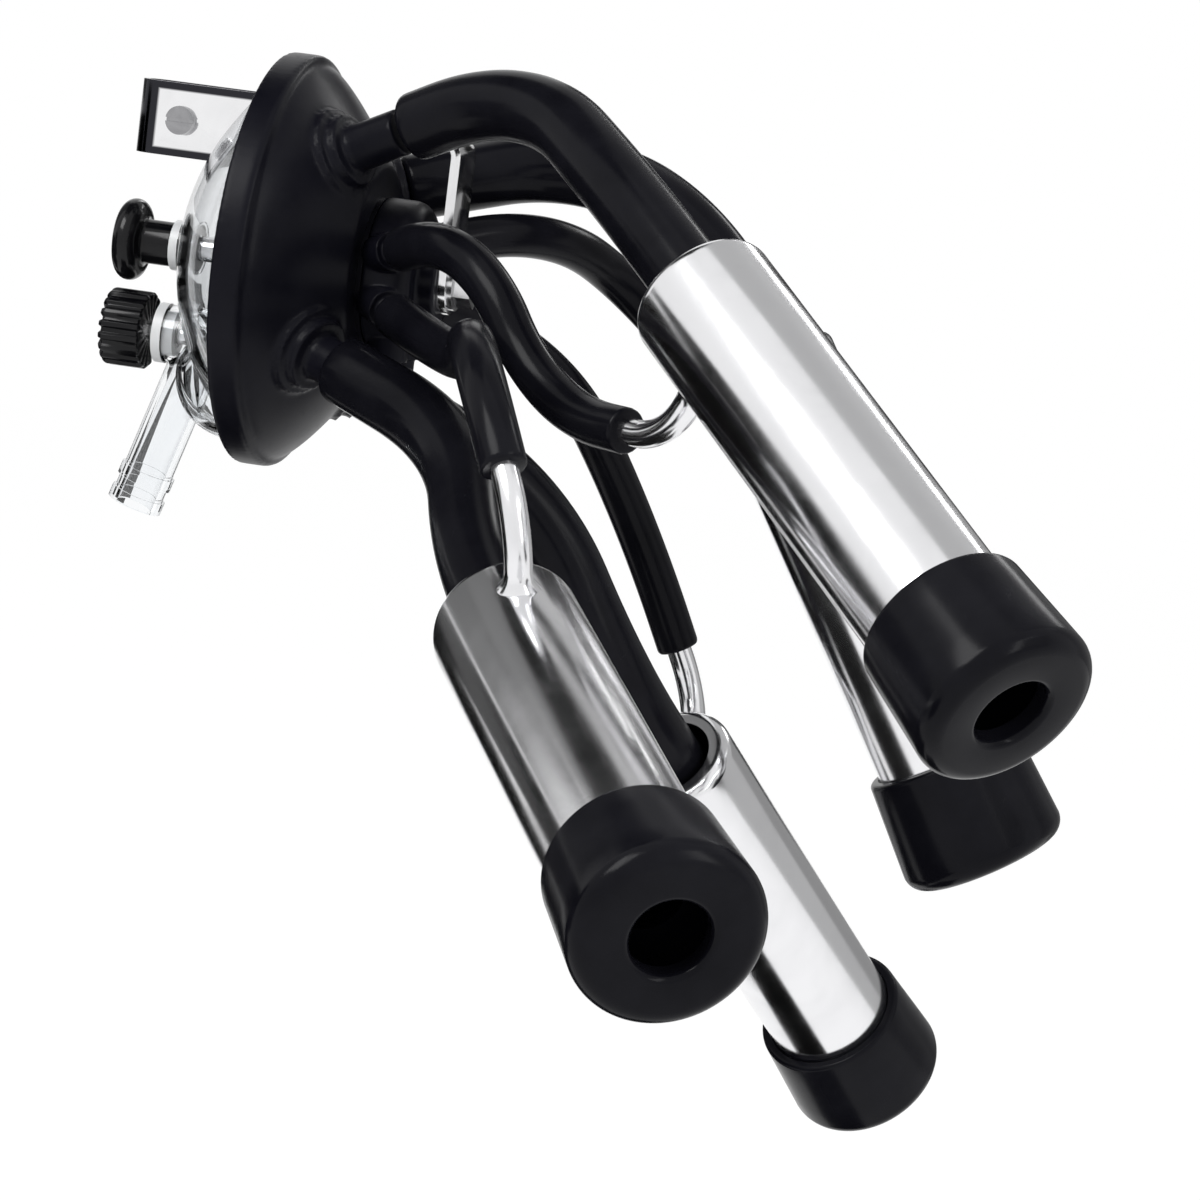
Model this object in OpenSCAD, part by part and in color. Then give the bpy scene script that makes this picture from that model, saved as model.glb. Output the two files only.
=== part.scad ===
// Milking claw with its four teat cups, as it hangs from its hook.
// The claw's axis runs along X and the milk nipples point to +X. Z is up.
// Claw stations are measured along X from the bowl's rim plane.
// The origin is the underside of the hook, where it sits on a rail.

/* [Bowl] */
// Outer radius of the bowl's dome
dome_r = 74; // [67:0.5:82]
// Depth of the dome behind the rim plane
dome_depth = 33.8; // [32:0.1:36]
// Wall thickness of the clear bowl
bowl_wall = 3; // [2:0.25:4]
// Outer radius of the bowl's rim ring
bowl_rim_r = 61.5; // [56:0.5:68]
// Width of the gasket on the bowl's rim
gasket_w = 5.5; // [4:0.5:7]
// Thickness of the bowl's rim ring
bowl_rim_t = 4; // [3:0.5:5]
// Radius of the sump bulge on the outlet side
sump_r = 20; // [18:0.5:21]
// Station of the sump's centre
sump_x = -12.5; // [-14:0.5:-11]
// Drop of the sump's centre below the claw's axis
sump_drop = 38.5; // [37:0.5:39]
// Radius of the boss round the clamp bolt
bolt_boss_r = 9; // [8:0.5:11]
// Station of the boss's outer face
bolt_boss_x = -35; // [-36:0.5:-34.5]

/* [Outlet spout] */
// Outer radius of the spout that the milk hose is pushed onto
spout_r = 8; // [7:0.25:9]
// Bore radius of the spout
spout_bore_r = 5.75; // [5:0.25:6]
// Length of the spout from the valve chamber's axis
spout_l = 58; // [50:1:66]
// Lean of the spout from straight down, towards the knobs
spout_lean = 17; // [14:1:19]
// Station where the spout leaves the valve chamber's axis
spout_x = -25; // [-26:0.5:-24.5]
// Height of each hose barb above the spout
barb_h = 0.8; // [0.4:0.1:1.2]
// Length of each hose barb
barb_l = 4; // [3:0.5:6]

/* [Cover] */
// Thickness of the cover's skirt round the bowl's rim
skirt_wall = 2.8; // [2:0.1:4]
// Gap between the skirt and the bowl's rim
skirt_gap = 0.7; // [0.5:0.1:1]
// Depth of the skirt behind the rim plane
skirt_l = 7; // [5:0.5:8]
// Station of the rim's front face
rim_front_x = 3; // [2.5:0.5:4]
// Step from the rim's edge in to where the bell starts to rise
rim_step = 2.5; // [2:0.5:5]
// Radius of the flat at the top of the bell
bell_top_r = 33; // [30:0.5:35]
// Station of the flat at the top of the bell
bell_top_x = 28; // [26:0.5:30]
// Fullness of the bell's curve, less than 1 bulges outwards
bell_swell = 0.8; // [0.7:0.05:1]
// Step from the bowl's rim in to the foot of the bell's inside
bell_seat = 6; // [5:0.5:8]
// Wall thickness of the bell
cover_wall = 3.5; // [3:0.25:4]
// Rounding of the rim's front edge
rim_round = 2; // [1:0.25:2.5]
// Radius of the hub round the clamp bolt
hub_r = 10; // [9:0.5:12]
// Length of the hub behind the bell's top
hub_l = 12; // [8:1:14]

/* [Milk nipples] */
// Radius of the circle that the nipples stand on
nipple_ring_r = 44; // [42:0.5:45]
// Station of the nipples' feet
nipple_x = 20; // [18:0.5:21]
// Lean of each nipple from the claw's axis
nipple_lean = 30; // [28:1:33]
// Turn of the ring of nipples about the claw's axis
nipple_roll = 12; // [5:1:18]
// Length of each nipple from its foot
nipple_l = 36; // [35:1:38]
// Outer radius of each nipple
nipple_r = 7.5; // [7:0.25:8]
// Bore radius of each nipple
nipple_bore_r = 5; // [4:0.25:5.5]
// Radius of the collar at each nipple's foot
collar_r = 11.5; // [10:0.5:12]
// Length of the collar in front of the nipple's foot
collar_l = 4; // [3:0.5:5]

/* [Pulse distributor] */
// Radius of the distributor
dist_r = 24; // [22:0.5:26]
// Length of the distributor along the claw's axis
dist_l = 14.5; // [13:0.5:16]
// Wall thickness of the distributor
dist_wall = 3; // [2.5:0.25:4]
// Rounding of the distributor's front edge
dist_round = 6; // [4:0.5:8]
// Radius of the boss that the hook is clamped to
dist_boss_r = 13; // [11:0.5:15]
// Height of that boss in front of the distributor
dist_boss_l = 6; // [4:0.5:8]
// Thickness of the gasket under the distributor
dist_gasket_t = 1.5; // [1:0.25:2]
// Outer radius of the pulse outlets and of the shells' pulse nipples
pulse_r = 4; // [3.5:0.25:4.5]
// Bore radius of the pulse outlets and pulse nipples
pulse_bore_r = 2.6; // [2:0.1:3]
// Length of each pulse outlet beyond the distributor
pulse_out_l = 17; // [15:1:18]
// Lean of each pulse outlet from the claw's axis
pulse_out_lean = 45; // [38:1:52]
// Half of the angle between the two outlets on one side
pulse_out_spread = 20; // [19:0.5:24]
// Outer radius of the two pulse inlets
inlet_r = 4.5; // [4:0.25:5]
// Bore radius of the two pulse inlets
inlet_bore_r = 3; // [2.5:0.25:3.25]
// Reach of the inlets below the claw's axis
inlet_reach = 46; // [42:1:50]
// Sideways offset of each inlet
inlet_y = 9; // [8:0.5:10]
// Length of each inlet that a hose is pushed onto
inlet_grip = 20; // [16:1:20]
// Radius of the shoulder above that length
shoulder_r = 6.5; // [6:0.25:7]

/* [Hook] */
// Width of the hook's strap
hook_w = 20; // [16:1:22]
// Thickness of the hook's strap
hook_t = 3; // [2.5:0.25:3.5]
// Height of the hook's seat above the claw's axis
seat_z = 43; // [42:0.5:46]
// Inner radius of the hook's bend
hook_bend_r = 4; // [3:0.5:5]
// Length of the hook's run behind its leg
hook_run = 12; // [10:0.5:13]
// Angle at which the hook's tip turns down
tip_turn = 40; // [30:5:45]
// Inner radius of the bend before the tip
tip_bend_r = 2; // [1.5:0.25:3]
// Length of the turned tip
tip_l = 6; // [4:0.5:7]

/* [Clamp bolt and knob] */
// Radius of the bolt that clamps hook, distributor, cover and bowl
bolt_r = 4; // [3:0.5:4]
// Size across flats of the bolt's head
bolt_head_af = 13; // [11:0.5:14]
// Height of the bolt's head
bolt_head_l = 5.5; // [4.5:0.25:6]
// Radius of the washer under the bolt's head
washer_r = 8.5; // [8:0.25:9.5]
// Thickness of the washer
washer_t = 1.6; // [1.2:0.2:2]
// Radius of the clamp knob's disc
clamp_disc_r = 13; // [12:0.5:14]
// Thickness of the clamp knob's disc
clamp_disc_t = 8; // [7:0.5:9]
// Radius of the clamp knob's neck
clamp_neck_r = 7; // [6.5:0.25:8]
// Length of the clamp knob's neck
clamp_neck_l = 10; // [8:0.5:12]
// Thickness of the seal between clamp knob and bowl
clamp_seal_t = 3; // [2:0.25:4]

/* [Shut-off valve] */
// Drop of the valve's axis below the claw's axis
valve_drop = 28; // [27:0.5:29]
// Outer radius of the valve chamber
chamber_r = 9.25; // [9:0.25:9.75]
// Inner radius of the valve chamber
chamber_bore_r = 7.2; // [7:0.1:7.5]
// Station of the valve seat
seat_x = -17.5; // [-18:0.25:-17]
// Thickness of the wall that carries the valve seat
port_wall = 2.5; // [2:0.25:3]
// Radius of the port in the valve seat
port_r = 4.6; // [4:0.1:5]
// Station of the valve chamber's outer end
chamber_end_x = -37; // [-38:0.5:-36]
// Travel of the valve from shut to open
valve_travel = 6; // [4:0.5:7]
// Radius of the valve's steel stem
stem_r = 3; // [2.5:0.25:3.25]
// Running clearance round the stem in its seal
stem_clear = 0.05; // [0.02:0.01:0.08]
// Radius of the rubber plug
plug_r = 6.4; // [6:0.1:6.6]
// Thickness of the rubber plug
plug_t = 3.6; // [3:0.1:4]
// Gap between plug and seat when shut
plug_gap = 0.2; // [0.1:0.05:0.4]
// Thickness of the bonnet's flange
bonnet_t = 3; // [2.5:0.25:3.5]
// Radius of the bonnet's flange
bonnet_r = 9.5; // [9:0.25:9.75]
// Length of the bonnet's spigot inside the chamber
spigot_l = 3.5; // [3:0.25:4]
// Length of bare stem between bonnet and knob
stem_bare = 3; // [2:0.5:5]
// Radius of the valve knob
valve_knob_r = 12.3; // [11.5:0.1:13]
// Length of the valve knob
valve_knob_l = 14; // [12:0.5:15]
// Number of grip flutes round the valve knob
flutes = 18; // [12:1:24]
// Radius of each grip flute
flute_r = 1.2; // [0.8:0.1:1.4]

/* [Loop bracket] */
// Height of the bracket's strap
strap_h = 23; // [18:1:24]
// Thickness of the bracket's strap
strap_t = 2; // [1.5:0.25:2.5]
// Height of the bracket's middle above the claw's axis
bracket_z = 39.5; // [38:0.5:41]
// Thickness of the bowl's lug between the bracket's legs
lug_t = 10; // [8:0.5:12]
// Height of the bowl's lug
lug_h = 16; // [12:0.5:17]
// Station of the lug's free end
lug_x = -44; // [-45:0.5:-43]
// Station of the centre of the bracket's bend
strap_bend_x = -47; // [-49:0.5:-46]
// Station of the cross screw
screw_x = -38.5; // [-39:0.5:-37]
// Radius of the cross screw
screw_r = 2.5; // [2:0.25:3]
// Radius of the cross screw's head
screw_head_r = 4.5; // [4:0.25:5]
// Height of the cross screw's head
screw_head_l = 2.8; // [2.5:0.1:3.5]
// Size across flats of the cross screw's nut
nut_af = 8; // [7:0.5:9]
// Height of the cross screw's nut
nut_l = 4; // [3:0.25:4.5]

/* [Teat cup shell] */
// Outer radius of the shell
shell_r = 21.5; // [20.5:0.25:22.5]
// Length of the shell
shell_l = 150; // [140:1:158]
// Wall thickness of the shell
shell_wall = 1.2; // [0.8:0.1:1.5]
// Rounding of the shell's small end
shell_round = 4; // [3:0.25:4.5]
// Radius of the hole that the liner's tail passes
shell_hole_r = 14.5; // [14.25:0.05:15]
// Distance from the small end to the pulse nipple
pulse_station = 18; // [14:0.5:20]
// Bend radius of the pulse nipple
pulse_bend_r = 26; // [24:1:28]
// Angle through which the pulse nipple bends towards the claw
pulse_bend = 58; // [54:1:62]
// Straight length of the pulse nipple beyond its bend
pulse_tip_l = 14; // [12:1:18]

/* [Liner] */
// Distance from the shell's small end to the mouth of the liner
mouth_at = 178; // [174:1:182]
// Distance from the shell's small end to the cuff's edge
cuff_at = 140; // [130:1:146]
// Outer radius of the head at the cuff's edge
cuff_r = 25.2; // [24.8:0.1:26]
// Largest radius of the head
head_r = 27; // [26.5:0.25:28]
// Rounding of the head's edge at the mouth
head_round = 6; // [5:0.5:7]
// Radius of the mouth and of the barrel's bore
teat_r = 11; // [10.5:0.1:11.5]
// Radius of the chamber behind the mouth's lip
mouth_chamber_r = 19; // [17:0.5:20]
// Thickness of the mouth's lip
lip_t = 6; // [5:0.5:7]
// Outer radius of the barrel inside the shell
barrel_r = 13.6; // [13.2:0.1:14]
// Outer radius of the milk tube where it leaves the shell
tube_tail_r = 11.6; // [11.4:0.1:12.2]
// Outer radius of the milk tube where it sits on the claw's nipple
tube_end_r = 10.6; // [10.4:0.1:10.8]
// Bore radius of the milk tube
tube_bore_r = 6; // [5.5:0.1:6.5]
// Length of every milk tube from the shell to its open end
milk_tube_l = 149.5; // [149:0.25:150]
// Straight length of the milk tube next to the shell
tail_l = 12; // [10:1:16]

/* [Pulse tubes] */
// Outer radius of the short pulse tubes
hose_r = 7; // [6.5:0.25:7]
// Length of each pulse tube's grip on a nipple
hose_grip = 10; // [8:1:11]

/* [Cup positions] */
// Stations of the four shells' small ends along the claw's axis
cup_x = [152, 146, 115, 126]; // [100:1:170]
// Sideways places of the four small ends
cup_y = [-110, 45, -146, 71]; // [-160:1:120]
// Heights of the four small ends above the claw's axis
cup_z = [15, -12, -84, -149]; // [-160:1:30]
// Compass directions in which the four cups point
cup_turn = [-39, 11, -59.5, 61.5]; // [-90:0.5:90]
// Angles by which the four cups point below level
cup_dip = [32, 59, 17.5, 41.5]; // [0:0.5:80]
// Turns of the four cups about their own axes, from the pulse nipple facing the claw
cup_roll = [-10, 80, 35, 10]; // [-90:5:90]

/* [Hidden] */
$fn = 96;
// Small lengths used to overlap pieces of one solid and to cut through faces
lap = 0.8;
eps = 0.1;
// Fit between a piece and the hole it sits in
fit = 0.1;
// Step between the radii of neighbouring stretches of a tube
step_r = 0.3;
// Stations along the claw's axis that follow from the stack of parts
gasket_back_x = -1;
gasket_front_x = 1.5;
dome_ahead = dome_r - dome_depth;
skirt_bore_r = bowl_rim_r + skirt_gap;
rim_r = skirt_bore_r + skirt_wall;
bell_root_r = rim_r - rim_step;
dist_back_x = bell_top_x + dist_gasket_t;
dist_front_x = dist_back_x + dist_l;
hook_back_x = dist_front_x + dist_boss_l;
hook_front_x = hook_back_x + hook_t;
head_back_x = hook_front_x + washer_t;
clamp_seal_x = bolt_boss_x - clamp_seal_t;
clamp_neck_x = clamp_seal_x - clamp_neck_l;
clamp_face_x = clamp_neck_x - clamp_disc_t;
bolt_end_x = clamp_neck_x - clamp_disc_t / 2;
bonnet_face_x = chamber_end_x - bonnet_t;
plug_front_x = seat_x - plug_gap;
valve_knob_x = bonnet_face_x - stem_bare;
hook_seat_x = hook_back_x - hook_bend_r - hook_run / 2;
// Quarter places of the nipples: near upper, far upper, near lower, far lower
nipple_place = [45, 135, -45, 225];
side_y = [-1, 1, -1, 1];
side_z = [1, 1, -1, -1];

function unit(v) = v / norm(v);
// Matrix whose columns are three axes and a place
function axes(x, y, z, p) = [
  [x[0], y[0], z[0], p[0]],
  [x[1], y[1], z[1], p[1]],
  [x[2], y[2], z[2], p[2]],
  [0, 0, 0, 1]
];
// Matrix that sends +Z along d and +X towards ref
function aim(p, d, ref) = let (y = unit(cross(d, ref))) axes(cross(y, d), y, d, p);

// Milk nipples of the claw
function quarter(i) = [0, -cos(nipple_place[i] + nipple_roll), sin(nipple_place[i] + nipple_roll)];
function nipple_foot(i) = [nipple_x, 0, 0] + nipple_ring_r * quarter(i);
function nipple_dir(i) = [cos(nipple_lean), 0, 0] + sin(nipple_lean) * quarter(i);
function nipple_tip(i) = nipple_foot(i) + nipple_l * nipple_dir(i);

// Teat cups
function cup_at(i) = [cup_x[i], cup_y[i], cup_z[i]];
function cup_dir(i) = [
  cos(cup_dip[i]) * cos(cup_turn[i]),
  cos(cup_dip[i]) * sin(cup_turn[i]),
  -sin(cup_dip[i])
];
function across(v, d) = unit(v - (v * d) * d);
function cup_ref(i) =
  let (d = cup_dir(i), u = across([dist_front_x, 0, 0] - cup_at(i), d))
    cos(cup_roll[i]) * u + sin(cup_roll[i]) * cross(d, u);
function cup_frame(i) = aim(cup_at(i), cup_dir(i), cup_ref(i));
function tail_at(i) = cup_at(i) - tail_l * cup_dir(i);

// Pulse outlets of the distributor
function outlet_ray(i) = [0, side_y[i] * cos(pulse_out_spread), side_z[i] * sin(pulse_out_spread)];
function outlet_dir(i) = [cos(pulse_out_lean), 0, 0] + sin(pulse_out_lean) * outlet_ray(i);
function outlet_foot(i) = [dist_back_x + dist_l / 2, 0, 0] + dist_r * outlet_ray(i);
function outlet_tip(i) = outlet_foot(i) + pulse_out_l * outlet_dir(i);

// Pulse nipple of a shell, in the cup's frame and then in the claw's
stub_x = shell_r + 5;
bend_end = [
  stub_x + pulse_bend_r * sin(pulse_bend), 0, pulse_station - pulse_bend_r * (1 - cos(pulse_bend))
];
tip_dir = [cos(pulse_bend), 0, -sin(pulse_bend)];
function from_cup(i, v, w) = let (h = cup_frame(i) * [v[0], v[1], v[2], w]) [h[0], h[1], h[2]];
function pulse_tip(i) = from_cup(i, bend_end + pulse_tip_l * tip_dir, 1);
function pulse_tip_dir(i) = from_cup(i, tip_dir, 0);

// Two arcs that join a place and direction to another place and direction
function reach(v, t0, t1) =
  let (k = 2 * (1 - t0 * t1), b = v * (t0 + t1)) (sqrt(b * b + k * (v * v)) - b) / k;
function knee_1(p0, t0, p1, t1) = p0 + reach(p1 - p0, t0, t1) * t0;
function knee_2(p0, t0, p1, t1) = p1 - reach(p1 - p0, t0, t1) * t1;
function joint_at(p0, t0, p1, t1) = (knee_1(p0, t0, p1, t1) + knee_2(p0, t0, p1, t1)) / 2;
function joint_dir(p0, t0, p1, t1) = unit(knee_2(p0, t0, p1, t1) - knee_1(p0, t0, p1, t1));
function arc_turn(p0, t0, p1) = 2 * acos(unit(p1 - p0) * t0);
function arc_r(p0, t0, p1) = norm(p1 - p0) / (2 * sin(arc_turn(p0, t0, p1) / 2));
function arc_l(p0, t0, p1) = arc_r(p0, t0, p1) * arc_turn(p0, t0, p1) * PI / 180;
function bend_l(p0, t0, p1, t1) =
  let (j = joint_at(p0, t0, p1, t1)) arc_l(p0, t0, j) + arc_l(j, joint_dir(p0, t0, p1, t1), p1);
// How far each milk tube is pushed onto its nipple, all four tubes being as long as each other
function push_on(i) =
  milk_tube_l - tail_l - bend_l(nipple_tip(i), nipple_dir(i), tail_at(i), cup_dir(i));

// Puts the claw's stations into the frame whose origin is the hook's seat
module hung() {
  translate([-hook_seat_x, 0, -seat_z]) children();
}

// Turns a profile of [radius, station] points about the claw's axis
module turned(points) {
  rotate([0, 90, 0]) rotate_extrude() polygon(points);
}

// Round bar along X between two stations, dropped below the claw's axis
module bar(x0, x1, r, drop = 0) {
  translate([x0, 0, -drop]) rotate([0, 90, 0]) cylinder(h = x1 - x0, r = r);
}

// Ring along X between two stations
module ring(x0, x1, r, bore_r, drop = 0) {
  difference() {
    bar(x0, x1, r, drop);
    bar(x0 - eps, x1 + eps, bore_r, drop);
  }
}

// Round rod from a place along a direction
module rod(p, d, l, r) {
  ref = abs(d[1]) < 0.9 ? [0, 1, 0] : [0, 0, 1];
  multmatrix(aim(p, d, ref)) cylinder(h = l, r = r);
}

// Round rod along the arc that leaves p0 in direction t0 and ends at p1
module arc_rod(p0, t0, p1, r) {
  chord = p1 - p0;
  inward = unit(chord - (chord * t0) * t0);
  bend_r = arc_r(p0, t0, p1);
  extra = lap / bend_r * 180 / PI;
  multmatrix(axes(-inward, t0, cross(-inward, t0), p0 + bend_r * inward))
    rotate([0, 0, -extra])
      rotate_extrude(angle = arc_turn(p0, t0, p1) + 2 * extra)
        translate([bend_r, 0]) circle(r);
}

// Rod along both arcs between two places, with its radius stepping from r0 to r1
module bent_rod(p0, t0, p1, t1, r0, r1) {
  arc_rod(p0, t0, joint_at(p0, t0, p1, t1), r0);
  arc_rod(joint_at(p0, t0, p1, t1), joint_dir(p0, t0, p1, t1), p1, r1);
}

module dome(inset) {
  translate([dome_ahead, 0, 0]) sphere(dome_r - inset);
}

module sump(inset) {
  translate([sump_x, 0, -sump_drop]) sphere(sump_r - inset);
}

// Dome and sump as far as the rim reaches
module bowl_form(inset) {
  intersection() {
    union() {
      dome(inset);
      sump(inset);
    }
    bar(-dome_r, gasket_back_x + inset, bowl_rim_r - inset);
  }
}

// Spout's direction and place
spout_dir = [-sin(spout_lean), 0, -cos(spout_lean)];
spout_at = [spout_x, 0, -valve_drop];

module spout_outside() {
  rod(spout_at, spout_dir, spout_l, spout_r);
  for (k = [1, 2])
    rod(spout_at + (spout_l - (2 * k - 1) * barb_l) * spout_dir, spout_dir, barb_l, spout_r + barb_h);
}

module claw_bowl() {
  color([0.86, 0.9, 0.93, 0.45]) hung() difference() {
    union() {
      difference() {
        union() {
          bowl_form(0);
          bar(gasket_back_x - bowl_rim_t, gasket_back_x, bowl_rim_r);
          bar(bolt_boss_x, sump_x, bolt_boss_r);
          translate([lug_x, -lug_t / 2, bracket_z - lug_h / 2]) cube([-lug_x + sump_x, lug_t, lug_h]);
        }
        bowl_form(bowl_wall);
      }
      bar(chamber_end_x, seat_x + port_wall, chamber_r, valve_drop);
      spout_outside();
    }
    bar(chamber_end_x - eps, seat_x, chamber_bore_r, valve_drop);
    bar(seat_x - eps, seat_x + 2 * port_wall, port_r, valve_drop);
    rod(spout_at, spout_dir, spout_l + lap, spout_bore_r);
    bar(bolt_boss_x - eps, 0, bolt_r + fit);
    translate([screw_x, lug_t, bracket_z]) rotate([90, 0, 0]) cylinder(h = 2 * lug_t, r = screw_r + fit);
  }
}

module bowl_gasket() {
  inner = bowl_rim_r - gasket_w;
  color([0.1, 0.1, 0.11]) hung() ring(gasket_back_x, gasket_front_x, bowl_rim_r + fit, inner);
}

// Bell's curves from the rim and from the seal's seat to the flat top
bell_steps = 12;
seat_r = bowl_rim_r - bell_seat;
function bell_point(k, r0, x0, r1, x1) =
  [r0 - (r0 - r1) * k / bell_steps, x0 + (x1 - x0) * pow(k / bell_steps, bell_swell)];
bell_outside = [for (k = [0:bell_steps]) bell_point(k, bell_root_r, rim_front_x, bell_top_r, bell_top_x)];
bell_inside = [for (k = [bell_steps:-1:0])
  bell_point(k, seat_r, gasket_front_x, bell_top_r - cover_wall / 2, bell_top_x - cover_wall)];

module nipple_outside(i) {
  rod(nipple_foot(i) - collar_r * nipple_dir(i), nipple_dir(i), nipple_l + collar_r, nipple_r);
  rod(nipple_foot(i) - collar_r * nipple_dir(i), nipple_dir(i), collar_l + collar_r, collar_r);
}

module claw_cover() {
  rim_edge = [for (k = [0:4]) [
    rim_r - rim_round + rim_round * cos(90 * k / 4),
    rim_front_x - rim_round + rim_round * sin(90 * k / 4)
  ]];
  color([0.09, 0.09, 0.1]) hung() difference() {
    union() {
      turned(concat(
        [[rim_r, -skirt_l]], rim_edge, bell_outside,
        [[0, bell_top_x], [0, gasket_front_x - lap], [skirt_bore_r, gasket_front_x - lap]],
        [[skirt_bore_r, -skirt_l]]
      ));
      for (i = [0:3]) nipple_outside(i);
    }
    difference() {
      turned(concat(
        [[0, bell_top_x - cover_wall]], bell_inside,
        [[skirt_bore_r, gasket_front_x], [skirt_bore_r, gasket_front_x - dome_r]],
        [[0, gasket_front_x - dome_r]]
      ));
      bar(bell_top_x - hub_l, bell_top_x, hub_r);
    }
    for (i = [0:3])
      rod(nipple_foot(i) - 2 * collar_r * nipple_dir(i), nipple_dir(i),
        nipple_l + 2 * collar_r + lap, nipple_bore_r);
    bar(-hub_l, bell_top_x + eps, bolt_r + fit);
  }
}

module distributor_gasket() {
  color([0.14, 0.14, 0.15]) hung() ring(bell_top_x, dist_back_x, dist_r, bolt_r + fit);
}

module pulse_distributor() {
  boss_r = bolt_r + dist_wall;
  color([0.1, 0.1, 0.11]) hung() difference() {
    union() {
      difference() {
        union() {
          translate([dist_front_x, 0, 0]) rotate([0, -90, 0]) rotate_extrude() tub(dist_r, dist_l, dist_round);
          bar(dist_front_x - lap, hook_back_x, dist_boss_r);
          for (i = [0:3])
            rod(outlet_foot(i) - dist_wall * outlet_dir(i), outlet_dir(i), pulse_out_l + dist_wall, pulse_r);
          for (y = [-inlet_y, inlet_y]) {
            rod([dist_back_x + dist_l / 2, y, 0], [0, 0, -1], inlet_reach, inlet_r);
            rod([dist_back_x + dist_l / 2, y, 0], [0, 0, -1], inlet_reach - inlet_grip, shoulder_r);
          }
        }
        translate([dist_front_x - dist_wall, 0, 0]) rotate([0, -90, 0])
          rotate_extrude() tub(dist_r - dist_wall, dist_l, dist_round - dist_wall);
      }
      bar(dist_back_x, dist_front_x, boss_r);
      translate([dist_back_x, -dist_wall / 2, -dist_r + dist_wall / 2])
        cube([dist_l - dist_wall / 2, dist_wall, 2 * dist_r - dist_wall]);
    }
    bar(dist_back_x - eps, hook_back_x + eps, bolt_r + fit);
    for (i = [0:3])
      rod(outlet_foot(i) - 2 * dist_wall * outlet_dir(i), outlet_dir(i),
        pulse_out_l + 2 * dist_wall + lap, pulse_bore_r);
    for (y = [-inlet_y, inlet_y])
      rod([dist_back_x + dist_l / 2, y, -dist_r / 2], [0, 0, -1], inlet_reach, inlet_bore_r);
  }
}

// Side view of the hook's strap, in X and Z
module hook_side() {
  leg_top = seat_z - hook_bend_r;
  run_end = hook_back_x - hook_bend_r - hook_run;
  translate([hook_back_x, 0]) square([hook_t, leg_top]);
  translate([hook_back_x - hook_bend_r, leg_top]) intersection() {
    difference() {
      circle(hook_bend_r + hook_t);
      circle(hook_bend_r);
    }
    square(hook_bend_r + hook_t);
  }
  translate([run_end, seat_z]) square([hook_run, hook_t]);
  translate([run_end, seat_z - tip_bend_r]) {
    intersection() {
      difference() {
        circle(tip_bend_r + hook_t);
        circle(tip_bend_r);
      }
      translate([-2 * hook_run, 0]) square(2 * hook_run);
      rotate(tip_turn) square(2 * hook_run);
    }
    rotate(tip_turn) translate([-tip_l, tip_bend_r]) square([tip_l, hook_t]);
  }
}

module hanging_hook() {
  color([0.78, 0.79, 0.8]) hung() difference() {
    union() {
      translate([0, hook_w / 2, 0]) rotate([90, 0, 0]) linear_extrude(height = hook_w) hook_side();
      bar(hook_back_x, hook_front_x, hook_w / 2);
    }
    bar(hook_back_x - eps, hook_front_x + eps, bolt_r + fit);
  }
}

module hook_washer() {
  color([0.75, 0.76, 0.78]) hung() ring(hook_front_x, head_back_x, washer_r, bolt_r + fit);
}

module clamp_bolt() {
  color([0.72, 0.73, 0.75]) hung() {
    bar(bolt_end_x, head_back_x + lap, bolt_r);
    translate([head_back_x, 0, 0]) rotate([0, 90, 0])
      cylinder(h = bolt_head_l, r = bolt_head_af / sqrt(3), $fn = 6);
  }
}

module clamp_knob() {
  edge = clamp_disc_t / 2;
  color([0.08, 0.08, 0.09]) hung() difference() {
    union() {
      rotate([0, 90, 0]) rotate_extrude() {
        translate([0, clamp_face_x]) square([clamp_disc_r - edge, clamp_disc_t]);
        translate([clamp_disc_r - edge, clamp_face_x + edge]) circle(edge);
      }
      bar(clamp_neck_x - lap, clamp_seal_x, clamp_neck_r);
    }
    bar(bolt_end_x, clamp_seal_x + eps, bolt_r);
  }
}

module clamp_seal() {
  color([0.85, 0.86, 0.87]) hung() ring(clamp_seal_x, bolt_boss_x, clamp_neck_r + 1, bolt_r + fit);
}

module valve_bonnet() {
  color([0.7, 0.71, 0.73]) hung() difference() {
    union() {
      bar(bonnet_face_x, chamber_end_x, bonnet_r, valve_drop);
      bar(chamber_end_x - lap, chamber_end_x + spigot_l, chamber_bore_r - fit, valve_drop);
    }
    bar(bonnet_face_x - eps, chamber_end_x + spigot_l + eps, stem_r + 4 * fit, valve_drop);
    bar(chamber_end_x, chamber_end_x + spigot_l + eps, stem_r + bonnet_t / 2, valve_drop);
  }
}

module stem_seal() {
  color([0.13, 0.13, 0.14]) hung()
    ring(
      chamber_end_x, chamber_end_x + spigot_l - 2 * fit,
      stem_r + bonnet_t / 2, stem_r + stem_clear, valve_drop
    );
}

module valve_stem() {
  color([0.74, 0.75, 0.77]) hung()
    bar(valve_knob_x - valve_knob_l / 2, plug_front_x - plug_t / 3, stem_r, valve_drop);
}

module valve_plug() {
  color([0.12, 0.12, 0.13]) hung() difference() {
    bar(plug_front_x - plug_t, plug_front_x, plug_r, valve_drop);
    bar(plug_front_x - plug_t - eps, plug_front_x - plug_t / 3, stem_r, valve_drop);
  }
}

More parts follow.
